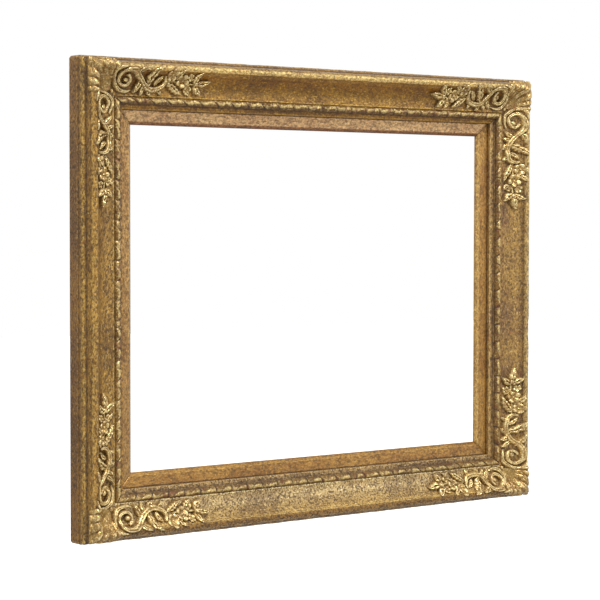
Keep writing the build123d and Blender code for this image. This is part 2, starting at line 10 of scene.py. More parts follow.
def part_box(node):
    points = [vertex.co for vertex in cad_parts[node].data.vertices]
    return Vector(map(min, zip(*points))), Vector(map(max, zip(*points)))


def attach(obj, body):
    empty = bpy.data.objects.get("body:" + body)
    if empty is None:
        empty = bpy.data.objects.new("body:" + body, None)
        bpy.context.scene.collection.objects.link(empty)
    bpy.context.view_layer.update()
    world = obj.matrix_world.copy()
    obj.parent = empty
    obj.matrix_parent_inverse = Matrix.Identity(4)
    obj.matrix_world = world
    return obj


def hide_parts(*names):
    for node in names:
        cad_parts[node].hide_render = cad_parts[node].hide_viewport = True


# An ornate gilded picture frame: mitred moulding, carved corners, running strip, liner
# and the hardware behind it. Lengths are millimetres until a mesh is written in metres.
# "Inset" is in from the outer edge and "height" is out from the wall plane.

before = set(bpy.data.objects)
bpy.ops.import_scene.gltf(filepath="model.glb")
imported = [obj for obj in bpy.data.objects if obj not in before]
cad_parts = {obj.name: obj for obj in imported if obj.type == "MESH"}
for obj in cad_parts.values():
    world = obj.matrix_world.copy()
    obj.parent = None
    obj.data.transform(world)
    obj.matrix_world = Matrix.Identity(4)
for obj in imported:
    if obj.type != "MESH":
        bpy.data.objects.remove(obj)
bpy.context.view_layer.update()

logging.basicConfig(level=logging.INFO, format="%(message)s")
log = logging.getLogger("gilded_frame")

MM = 0.001
HALF_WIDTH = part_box("rail_right")[1][0] / MM
HALF_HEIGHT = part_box("rail_top")[1][2] / MM
SHEET = 600


class Side(Enum):
    """A side of the frame, as the step in X and Z that it faces."""

    TOP = (0, 1)
    BOTTOM = (0, -1)
    LEFT = (-1, 0)
    RIGHT = (1, 0)

    @property
    def level(self) -> bool:
        """Whether the side runs along X."""
        return self.value[0] == 0

    @property
    def span(self) -> float:
        """Distance from the centre to the side's outer edge."""
        return HALF_HEIGHT if self.level else HALF_WIDTH

    @property
    def run(self) -> float:
        """Half the length of the side's outer edge."""
        return HALF_WIDTH if self.level else HALF_HEIGHT

    def place(self, run: np.ndarray, inset: np.ndarray, height: np.ndarray) -> np.ndarray:
        """Turn places on the side into points of the frame.

        Args:
            run: distance along the side from its middle.
            inset: distance in from the outer edge.
            height: distance out from the wall plane.

        Returns:
            Points in metres, one row each.
        """
        out_x, out_z = self.value
        reach = self.span - inset
        x = out_x * reach - out_z * run
        z = out_z * reach + out_x * run
        return np.stack([x, -height, z], axis=-1).reshape(-1, 3) * MM


class Arm(Enum):
    """Which way an ornament runs from its corner."""

    ACROSS = "across"
    UPRIGHT = "upright"


CORNERS = {
    "top_left": (-1, 1),
    "top_right": (1, 1),
    "bottom_left": (-1, -1),
    "bottom_right": (1, -1),
}


def corner_points(corner: str, arm: Arm, run: np.ndarray, inset: np.ndarray,
                  height: np.ndarray) -> np.ndarray:
    """Turn places on a corner's arm into points of the frame.

    Args:
        corner: the corner's name.
        arm: the arm that the places are measured along.
        run: distance from the outer corner along the arm.
        inset: distance in from the outer edge.
        height: distance out from the wall plane.

    Returns:
        Points in metres, one row each.
    """
    sign_x, sign_z = CORNERS[corner]
    across_x, across_z = (run, inset) if arm is Arm.ACROSS else (inset, run)
    x = sign_x * (HALF_WIDTH - across_x)
    z = sign_z * (HALF_HEIGHT - across_z)
    return np.stack([x, -height, z], axis=-1).reshape(-1, 3) * MM


# Shader graphs


class Wire:
    """A value socket that takes part in sums, each adding a Math node."""

    def __init__(self, graph: "Graph", socket: bpy.types.NodeSocket) -> None:
        """Keep the graph and the socket."""
        self.graph, self.socket = graph, socket

    def _math(self, operation: str, first: object, second: object = None) -> "Wire":
        """Add one Math node of the named operation."""
        values = {0: first} if second is None else {0: first, 1: second}
        return self.graph.value("ShaderNodeMath", {"operation": operation}, values)

    def __add__(self, other: object) -> "Wire":
        """Sum."""
        return self._math("ADD", self, other)

    __radd__ = __add__

    def __mul__(self, other: object) -> "Wire":
        """Product."""
        return self._math("MULTIPLY", self, other)

    __rmul__ = __mul__

    def __sub__(self, other: object) -> "Wire":
        """Difference."""
        return self._math("SUBTRACT", self, other)

    def __rsub__(self, other: object) -> "Wire":
        """Difference from a number."""
        return self._math("SUBTRACT", other, self)

    def clamp(self) -> "Wire":
        """The value held between 0 and 1."""
        return self.graph.value("ShaderNodeClamp", {}, {0: self})

    def step(self, low: float, high: float) -> "Wire":
        """A smooth step from 0 at low to 1 at high."""
        return self.graph.value("ShaderNodeMapRange", {"interpolation_type": "SMOOTHSTEP"},
                                {0: self, 1: low, 2: high})


class Graph:
    """The node graph of one material."""

    def __init__(self, name: str) -> None:
        """Start an empty material of that name."""
        self.material = bpy.data.materials.new(name)
        self.material.use_nodes = True
        self.tree = self.material.node_tree
        self.tree.nodes.clear()

    def node(self, kind: str, settings: dict, values: dict) -> bpy.types.Node:
        """Add a node of any kind.

        Args:
            kind: the node's type.
            settings: attributes that are set first.
            values: a value, a Wire or a socket for each input, by index or name.

        Returns:
            The new node.
        """
        node = self.tree.nodes.new(kind)
        for key, setting in settings.items():
            setattr(node, key, setting)
        for key, value in values.items():
            if isinstance(value, Wire):
                value = value.socket
            if isinstance(value, bpy.types.NodeSocket):
                self.tree.links.new(value, node.inputs[key])
            else:
                node.inputs[key].default_value = value
        return node

    def value(self, kind: str, settings: dict, values: dict) -> Wire:
        """Add a node and return its first output as a Wire."""
        return Wire(self, self.node(kind, settings, values).outputs[0])

    def blend(self, first: object, second: object, factor: object) -> bpy.types.NodeSocket:
        """Mix two colours by a factor."""
        node = self.node("ShaderNodeMix", {"data_type": "RGBA"}, {0: factor, 6: first, 7: second})
        return node.outputs[2]

    def multiply(self, first: object, second: object) -> bpy.types.NodeSocket:
        """Multiply two colours."""
        node = self.node("ShaderNodeMix", {"data_type": "RGBA", "blend_type": "MULTIPLY"},
                         {0: 1.0, 6: first, 7: second})
        return node.outputs[2]

    def ramp(self, place: Wire, stops: tuple) -> bpy.types.NodeSocket:
        """A colour that follows a value through stops.

        Args:
            place: the value.
            stops: pairs of a value and the three parts of its colour.

        Returns:
            The colour.
        """
        node = self.node("ShaderNodeValToRGB", {}, {0: place})
        marks = node.color_ramp.elements
        while len(marks) < len(stops):
            marks.new(0.5)
        for mark, (where, colour) in zip(marks, stops):
            mark.position = where
        for mark, (where, colour) in zip(marks, stops):
            mark.position, mark.color = where, (*colour, 1)
        return node.outputs[0]

    def tint(self, colour: bpy.types.NodeSocket, gain: Wire) -> bpy.types.NodeSocket:
        """Scale a colour by a value."""
        node = self.node("ShaderNodeVectorMath", {"operation": "SCALE"}, {0: colour, 3: gain})
        return node.outputs[0]

    def place(self, stretch: tuple = (1, 1, 1)) -> bpy.types.NodeSocket:
        """Object coordinates, stretched along the axes."""
        where = self.node("ShaderNodeTexCoord", {}, {}).outputs["Object"]
        return self.node("ShaderNodeMapping", {}, {0: where, 3: stretch}).outputs[0]

    def noise(self, where: bpy.types.NodeSocket, scale: float, detail: float = 3.0,
              roughness: float = 0.55) -> Wire:
        """Soft noise of a scale, per metre."""
        return self.value("ShaderNodeTexNoise", {}, {"Vector": where, "Scale": scale,
                                                     "Detail": detail, "Roughness": roughness})

    def attribute(self, name: str) -> Wire:
        """A value carried by the mesh."""
        node = self.node("ShaderNodeAttribute", {"attribute_name": name}, {})
        return Wire(self, node.outputs["Fac"])

    def finish(self, colour: bpy.types.NodeSocket, roughness: Wire, metallic: object,
               bump: Wire, strength: float, reach: float) -> bpy.types.Material:
        """Join colour, roughness, metal and bump into the shader.

        Args:
            colour: base colour.
            roughness: roughness.
            metallic: metal share, a Wire or a number.
            bump: height of the fine relief.
            strength: the bump's strength.
            reach: the bump's distance in metres.

        Returns:
            The material.
        """
        normal = self.node("ShaderNodeBump", {}, {"Height": bump, "Strength": strength,
                                                  "Distance": reach}).outputs[0]
        shader = self.node("ShaderNodeBsdfPrincipled", {}, {
            "Base Color": colour, "Roughness": roughness, "Metallic": metallic,
            "Normal": normal})
        self.node("ShaderNodeOutputMaterial", {}, {0: shader.outputs[0]})
        return self.material


def paint(red: int, green: int, blue: int) -> tuple:
    """A colour as painted, 0 to 255, turned into the renderer's linear values."""
    levels = np.array([red, green, blue]) / 255
    linear = np.where(levels <= 0.04045, levels / 12.92, ((levels + 0.055) / 1.055) ** 2.4)
    return (*linear.tolist(), 1.0)


@dataclass(frozen=True)
class Gilding:
    """Gold leaf over red bole: burnished, rubbed on its crests, with a painted highlight on its crests and
    painted shade mixed with grime in its hollows.
    """

    name: str
    leaf: tuple
    bright: tuple
    shade: tuple
    bole: tuple = paint(124, 66, 40)
    # The dark colour of fine grime specks and of the painted shade in hollows
    shade_and_grime_tone: tuple = paint(62, 42, 22)
    bright_share: float = 0.6
    shade_share: float = 0.7
    bole_share: float = 0.5
    speck_share: float = 0.45
    grain_scale: float = 480.0
    stretch: tuple = (1, 1, 1)
    metal: float = 0.45
    smooth: float = 0.34
    relief: float = 0.5
    # Tints across the rail by share of its width: painted highlights and painted shade, with some of the
    # rail's own tone
    tints_and_painted_light: tuple = ()
    gain: float = 1.0

    def material(self) -> bpy.types.Material:
        """Build the finish.

        Tones wander over 70 mm and 15 mm. Crests take the bright tone as a painted highlight and, where they
        are rubbed, the bole. Hollows take painted shade in the colour of grime, and fine specks take real
        grime. Where tints across the rail are given, they paint its highlights and shade.

        Returns:
            The material.
        """
        graph = Graph(self.name)
        where = graph.place()
        drawn = graph.place(self.stretch)
        shade_and_grime, crest = graph.attribute("shade_and_grime"), graph.attribute("crest")
        wander = graph.noise(where, 14.0, 2.0)
        patch = graph.noise(drawn, 68.0, 4.0, 0.6)
        fleck = graph.noise(drawn, 210.0, 4.0, 0.65)
        grain = graph.noise(drawn, self.grain_scale, 3.0, 0.7)
        tone = graph.blend(self.leaf, self.shade,
                           (wander * 0.5 + patch * 0.5).step(0.44, 0.58) * self.shade_share)
        # Painted highlight: crests lean towards the bright tone, over random bright flecks
        lit = (fleck * 0.5 + grain * 0.5 + crest * 0.2).step(0.5, 0.68) * self.bright_share
        tone = graph.blend(tone, self.bright, lit)
        rubbed = (graph.noise(where, 120.0, 5.0, 0.7) + crest * 0.06
                  + graph.attribute("rub") * 0.16).step(0.58, 0.66)
        tone = graph.blend(tone, self.bole, rubbed * self.bole_share)
        soot = graph.noise(drawn, self.grain_scale * 0.8, 3.0, 0.7)
        specks = (soot * 0.8 + fleck * 0.2).step(0.48, 0.57) * self.speck_share
        # Painted shade: hollows darken towards the grime colour, together with real grime specks
        shade_and_grime_mask = (shade_and_grime * (patch * 0.5 + 0.72) + specks).clamp()
        tone = graph.blend(tone, self.shade_and_grime_tone, shade_and_grime_mask * 0.92)
        tone = graph.tint(tone, grain * (1.9 * self.gain) + 0.1 * self.gain)
        # Painted light and shade: tints across the rail brighten its lit bands and darken its shaded ones
        if self.tints_and_painted_light:
            tone = graph.multiply(tone, graph.ramp(graph.attribute("across"), self.tints_and_painted_light))
        roughness = (shade_and_grime_mask * 0.34 + fleck * 0.16 + (self.smooth - 0.08)).clamp()
        metallic = (1 - shade_and_grime_mask * 0.85) * self.metal
        bump = grain * 0.5 + fleck * 0.9 + patch * 0.6 - specks * 0.5
        return graph.finish(tone, roughness, metallic, bump, self.relief, 0.0006)


@dataclass(frozen=True)
class BareWood:
    """Old softwood left bare behind the gilding, with fine grain lines."""

    name: str
    pale: tuple = paint(150, 112, 70)
    dark: tuple = paint(92, 62, 36)
    stretch: tuple = (1, 12, 12)

    def material(self) -> bpy.types.Material:
        """Build the finish: noise drawn out along the rail makes the grain."""
        graph = Graph(self.name)
        where = graph.place(self.stretch)
        grain = graph.noise(where, 22.0, 5.0, 0.65)
        stain = graph.noise(graph.place(), 9.0, 3.0)
        pores = graph.noise(where, 140.0, 2.0)
        tone = graph.blend(self.pale, self.dark, (grain * 0.7 + stain * 0.3).step(0.38, 0.66))
        tone = graph.tint(tone, pores * 0.4 + 0.8)
        return graph.finish(tone, grain * 0.2 + 0.62, 0.0, grain + pores, 0.4, 0.0004)


@dataclass(frozen=True)
class Metal:
    """Plain metal dulled by age, with rubbed edges and faint scratches."""

    name: str
    clean: tuple
    stained: tuple
    stretch: tuple = (1, 1, 6)

    def material(self) -> bpy.types.Material:
        """Build the finish: stains over clean metal, and scratches as drawn noise."""
        graph = Graph(self.name)
        where = graph.place()
        stain = graph.noise(where, 160.0, 5.0, 0.65)
        scratch = graph.noise(graph.place(self.stretch), 900.0, 2.0)
        tone = graph.blend(self.clean, self.stained, stain.step(0.46, 0.66))
        roughness = stain * 0.35 + scratch * 0.12 + 0.18
        return graph.finish(tone, roughness, 0.92, scratch + stain, 0.25, 0.0002)


# Shapes


@dataclass(frozen=True)
class Unevenness:
    """Soft unevenness of a hand-made surface: a sum of plane waves in seeded directions."""

    seed: int
    wavelength: float
    waves: int = 14

    def at(self, points: np.ndarray) -> np.ndarray:
        """The unevenness at points in metres, mostly between -1 and 1."""
        chance = np.random.default_rng(self.seed)
        way = chance.normal(size=(self.waves, 3))
        way /= np.linalg.norm(way, axis=1, keepdims=True)
        rate = 2 * np.pi / (self.wavelength * MM * chance.uniform(0.6, 1.7, self.waves))
        phase = chance.uniform(0, 2 * np.pi, self.waves)
        return np.sin(points @ (way * rate[:, None]).T + phase).sum(axis=1) / np.sqrt(self.waves)


# What the hand leaves uneven, the same in every rail, strip and carving
RAIL_SWELL, RAIL_RIPPLE = Unevenness(3, 34), Unevenness(5, 9)
STRIP_WEAR, STRIP_CHIPS = Unevenness(8, 19), Unevenness(9, 7)
TOOL_MARKS, TOOL_DRIFT = Unevenness(17, 6), Unevenness(19, 16)
HAND_SWERVE, HAND_SWAY = Unevenness(23, 30), Unevenness(29, 30)


def arc_through(start: tuple, middle: tuple, end: tuple, count: int) -> np.ndarray:
    """Points on the circle through three places.

    The centre solves the two equations that put it as far from each place, and the
    angles run evenly from the start through the middle to the end.

    Returns:
        The points, one row each.
    """
    a, b, c = (np.array(place, float) for place in (start, middle, end))
    centre = np.linalg.solve(2 * np.array([b - a, c - a]), np.array([b @ b - a @ a, c @ c - a @ a]))
    angles = np.unwrap([np.arctan2(*(place - centre)[::-1]) for place in (a, b, c)])
    sweep = np.linspace(angles[0], angles[2], count)
    return centre + np.hypot(*(a - centre)) * np.stack([np.cos(sweep), np.sin(sweep)], axis=1)


def softened(outline: np.ndarray, reach: float) -> np.ndarray:
    """Round every corner of a closed outline.

    Each corner becomes three points of the curve between points a reach before and
    after it, and its middle is drawn in by a quarter from both sides.
    """
    before, after = np.roll(outline, 1, axis=0) - outline, np.roll(outline, -1, axis=0) - outline
    size_b = np.linalg.norm(before, axis=1, keepdims=True)
    size_a = np.linalg.norm(after, axis=1, keepdims=True)
    first = outline + before * np.minimum(reach / size_b, 0.45)
    last = outline + after * np.minimum(reach / size_a, 0.45)
    middle = outline / 2 + (first + last) / 4
    return np.stack([first, middle, last], axis=1).reshape(-1, 2)


def evenly(points: np.ndarray, spacing: float) -> np.ndarray:
    """An open line of points, spaced evenly along its length."""
    lengths = np.concatenate([[0], np.cumsum(np.linalg.norm(np.diff(points, axis=0), axis=1))])
    marks = np.linspace(0, lengths[-1], int(lengths[-1] / spacing) + 2)
    return np.stack([np.interp(marks, lengths, points[:, axis]) for axis in (0, 1)], axis=1)


def smooth_line(points: tuple, count: int = 14) -> np.ndarray:
    """A smooth line through points: a cubic in each span, whose slopes follow its neighbours."""
    knots = np.array(points, float)
    padded = np.vstack([2 * knots[0] - knots[1], knots, 2 * knots[-1] - knots[-2]])
    p0, p1, p2, p3 = (padded[k:len(padded) - 3 + k, None] for k in range(4))
    t = np.linspace(0, 1, count, endpoint=False)[None, :, None]
    spans = 0.5 * (2 * p1 + (p2 - p0) * t + (2 * p0 - 5 * p1 + 4 * p2 - p3) * t ** 2
                   + (3 * p1 - 3 * p2 + p3 - p0) * t ** 3)
    return np.vstack([spans.reshape(-1, 2), knots[-1:]])


def nearest(run: np.ndarray, inset: np.ndarray, line: np.ndarray) -> tuple:
    """Distance to a line and the place along it, for many points at once.

    Returns:
        The distance, and the share of the line's length at the nearest place.
    """
    point = np.stack([run.ravel(), inset.ravel()], axis=1)[:, None]
    start, step = line[:-1][None], np.diff(line, axis=0)[None]
    size = (step ** 2).sum(axis=2)
    share = np.clip(((point - start) * step).sum(axis=2) / size, 0, 1)
    offset = point - start - step * share[..., None]
    distance = np.linalg.norm(offset, axis=2)
    best = distance.argmin(axis=1)
    rows = np.arange(len(best))
    lengths = np.concatenate([[0], np.cumsum(np.sqrt(size[0]))])
    along = (lengths[best] + share[rows, best] * np.sqrt(size[0])[best]) / lengths[-1]
    return distance[rows, best].reshape(run.shape), along.reshape(run.shape)


@dataclass(frozen=True)
class Ridge:
    """A raised band along a smooth line, round or fluted, of changing width."""

    line: tuple
    widths: tuple
    rise: tuple = (1.0,)
    flute: float = 0.0

    def relief(self, run: np.ndarray, inset: np.ndarray) -> tuple:
        """Height share inside the band, and distance outside it.

        With q the distance over the half width, the height is (1 - q squared) to the
        0.6, less the flute where q is small.
        """
        distance, along = nearest(run, inset, smooth_line(self.line))
        half = np.interp(along, np.linspace(0, 1, len(self.widths)), self.widths) / 2
        rise = np.interp(along, np.linspace(0, 1, len(self.rise)), self.rise)
        q = np.minimum(distance / half, 1)
        height = rise * (1 - q ** 2) ** 0.6 * (1 - self.flute * np.exp(-(q / 0.3) ** 2))
        return height, np.maximum(distance - half, 0)


@dataclass(frozen=True)
class Leaf:
    """A pointed leaf with a sunk midrib, side veins and a lifted tip."""

    line: tuple
    width: float
    rise: float = 0.8
    veins: int = 4
    notch: float = 0.0

    def relief(self, run: np.ndarray, inset: np.ndarray) -> tuple:
        """Height share inside the leaf, and distance outside it.

        The half width follows the sine of the place along the leaf, notched between
        its veins; the height falls to the edge and dips at the midrib.
        """
        distance, along = nearest(run, inset, smooth_line(self.line))
        bulge = np.sin(np.pi * np.clip(along, 0.001, 0.999) ** 0.8) ** 0.75
        saw = np.abs(np.sin(np.pi * along * self.veins))
        half = np.maximum(self.width / 2 * bulge * (1 - self.notch * (1 - saw)), 0.05)
        q = np.minimum(distance / half, 1)
        swell = 0.55 + 0.45 * np.sin(np.pi * along * 0.62 + 0.4)
        vein = 0.12 * np.cos(2 * np.pi * (along * self.veins - q * 0.45)) * (1 - q ** 2)
        height = self.rise * (swell * (1 - q ** 2) ** 0.5 * (1 - 0.42 * np.exp(-(q / 0.16) ** 2)) + vein)
        return np.maximum(height, 0) * (q < 1), np.maximum(distance - half, 0)


@dataclass(frozen=True)
class Blossom:
    """Cupped petals about a round heart."""

    centre: tuple
    radius: float
    petals: int = 5
    turn: float = 0.0
    rise: float = 0.95

    def relief(self, run: np.ndarray, inset: np.ndarray) -> tuple:
        """Height share inside the flower, and distance outside it.

        The rim swings in and out once for each petal. The height climbs from the
        heart's foot to the rim, with a groove between petals and a round heart.
        """
        across, up = run - self.centre[0], inset - self.centre[1]
        radius, angle = np.hypot(across, up), np.arctan2(up, across) + self.turn
        lobe = np.abs(np.cos(angle * self.petals / 2))
        rim = self.radius * (0.7 + 0.3 * lobe ** 0.6)
        q = np.minimum(radius / rim, 1)
        cup = (0.42 + 0.58 * q ** 1.4) * (1 - q ** 8) ** 0.5 * (0.45 + 0.55 * lobe ** 0.5)
        heart = 0.7 * np.sqrt(np.clip(1 - (radius / (0.22 * self.radius)) ** 2, 0, 1))
        return self.rise * np.maximum(cup, heart), np.maximum(radius - rim, 0)


@dataclass(frozen=True)
class Boss:
    """A round boss with a dimple."""

    centre: tuple
    radius: float
    rise: float = 0.9
    dimple: float = 0.3

    def relief(self, run: np.ndarray, inset: np.ndarray) -> tuple:
        """Height share of the dome, less its dimple, and distance outside it."""
        radius = np.hypot(run - self.centre[0], inset - self.centre[1])
        q = np.minimum(radius / self.radius, 1)
        height = self.rise * (1 - q ** 2) ** 0.5 * (1 - self.dimple * np.exp(-(q / 0.3) ** 2))
        return height, np.maximum(radius - self.radius, 0)


@dataclass(frozen=True)
class Fan:
    """A shell whose rays spread over the mitre from the sight corner."""

    hinge: float = 43.0
    rays: int = 7
    spread: float = 0.98
    reach: float = 55.0

    def relief(self, run: np.ndarray, inset: np.ndarray) -> tuple:
        """Height share of the shell, and distance outside it.

        About the hinge, the angle from the diagonal counts the rays and the radius
        gives the place along them. The shell is a smooth web near the hinge, and its
        rays swell into lobes towards a scalloped rim that draws in at the sides.
        """
        across, up = self.hinge - run, self.hinge - inset
        radius = np.hypot(across, up)
        angle = np.arctan2(up - across, up + across)
        turn = np.clip(angle / self.spread, -1, 1)
        lobe = np.abs(np.cos(np.pi * turn * self.rays / 2))
        rim = self.reach * (0.64 + 0.36 * np.cos(turn * np.pi / 2) ** 1.3) * (0.86 + 0.14 * lobe)
        q = radius / rim
        ray = np.clip((q - 0.36) / 0.34, 0, 1)
        body = (0.10 * (1 - ray) + ray * (0.16 + 0.84 * lobe ** 0.9)) * np.clip(1 - q ** 6, 0, 1) ** 0.5
        body = body * np.clip(1 - turn ** 8, 0, 1) ** 0.5
        sides = (np.abs(angle) - self.spread) * radius
        outside = np.maximum(np.maximum(radius - rim, sides), 0)
        return body * (outside <= 0), outside


def carved(pieces: tuple, run: np.ndarray, inset: np.ndarray) -> tuple:
    """The highest relief of several pieces, and the distance outside all of them."""
    heights, gaps = zip(*(piece.relief(run, inset) for piece in pieces))
    return np.maximum.reduce(heights), np.minimum.reduce(gaps)


def flow(values: np.ndarray, steps: int) -> np.ndarray:
    """A grid of values spread out by repeated averaging of neighbours, both ways."""
    spread = values
    for _ in range(steps):
        wide = np.pad(spread, 1, mode="edge")
        spread = (wide[:-2, 1:-1] + wide[2:, 1:-1] + wide[1:-1, :-2] + wide[1:-1, 2:]
                  + 2 * spread) / 6
    return spread


# Meshes


@dataclass
class Shell:
    """A closed mesh in the making: its points, faces and values on the points."""

    points: np.ndarray
    faces: list
    values: dict

    def outward(self) -> bool:
        """Whether the faces point out: the sum of the cones to the middle is positive."""
        centre = self.points.mean(axis=0)
        total = 0.0
        for group in self.faces:
            corner = self.points[group] - centre
            cones = np.cross(corner[:, 1:-1], corner[:, 2:])
            total += (corner[:, :1] * cones).sum()
        return total > 0

    def build(self, name: str, materials: list, indices: list) -> bpy.types.Object:
        """Write the mesh and its object.

        Args:
            name: the object's name.
            materials: the finishes.
            indices: an array of material indices for each group of faces.

        Returns:
            The object, at the origin.
        """
        groups = self.faces if self.outward() else [group[:, ::-1] for group in self.faces]
        mesh = bpy.data.meshes.new(name)
        mesh.vertices.add(len(self.points))
        mesh.vertices.foreach_set("co", self.points.astype(np.float32).ravel())
        totals = np.concatenate([np.full(len(group), group.shape[1]) for group in groups])
        corners = np.concatenate([group.ravel() for group in groups])
        mesh.loops.add(len(corners))
        mesh.loops.foreach_set("vertex_index", corners.astype(np.int32))
        mesh.polygons.add(len(totals))
        starts = np.concatenate([[0], np.cumsum(totals)[:-1]])
        mesh.polygons.foreach_set("loop_start", starts.astype(np.int32))
        mesh.polygons.foreach_set("loop_total", totals.astype(np.int32))
        for material in materials:
            mesh.materials.append(material)
        mesh.polygons.foreach_set("material_index", np.concatenate(indices).astype(np.int32))
        mesh.polygons.foreach_set("use_smooth", totals == 4)
        mesh.update(calc_edges=True)
        mesh.validate()
        for label, value in self.values.items():
            layer = mesh.attributes.new(label, "FLOAT", "POINT")
            layer.data.foreach_set("value", value.astype(np.float32))
        piece = bpy.data.objects.new(name, mesh)
        bpy.context.scene.collection.objects.link(piece)
        return piece


def swept(points: np.ndarray, spans: int, values: dict) -> Shell:
    """Join the sections of a rail into a closed shell.

    Args:
        points: the sections' points, one section after another.
        spans: how many spans lie between the sections.
        values: for each name a value at every point, or one section's values.

    Returns:
        The shell, whose faces are a group of quads and a group of the two ends.
    """
    size = len(points) // (spans + 1)
    rows, columns = np.arange(spans)[:, None], np.arange(size)[None]
    ornament_shade, far = rows * size + columns, rows * size + (columns + 1) % size
    quads = np.stack([ornament_shade, far, far + size, ornament_shade + size], axis=-1).reshape(-1, 4)
    ends = np.stack([np.arange(size)[::-1], spans * size + np.arange(size)])
    spread = {label: np.broadcast_to(value, (spans + 1, size)).ravel() for label, value in values.items()}
    return Shell(points, [quads, ends], spread)


def bare_wood(first: int, size: int, spans: int) -> list:
    """Finishes of a swept rail's faces: 1, the wood, from the first bare place on and at both ends."""
    return [np.tile(np.arange(size) >= first, spans).astype(int), np.ones(2, int)]


def settle(piece: bpy.types.Object, slot: str, *nodes: str) -> bpy.types.Object:
    """Let a piece stand for its CAD nodes, on the frame's body, and report it."""
    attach(piece, "frame")
    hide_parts(*nodes)
    log.info("%s: %d faces", piece.name, len(piece.data.polygons))
    return piece


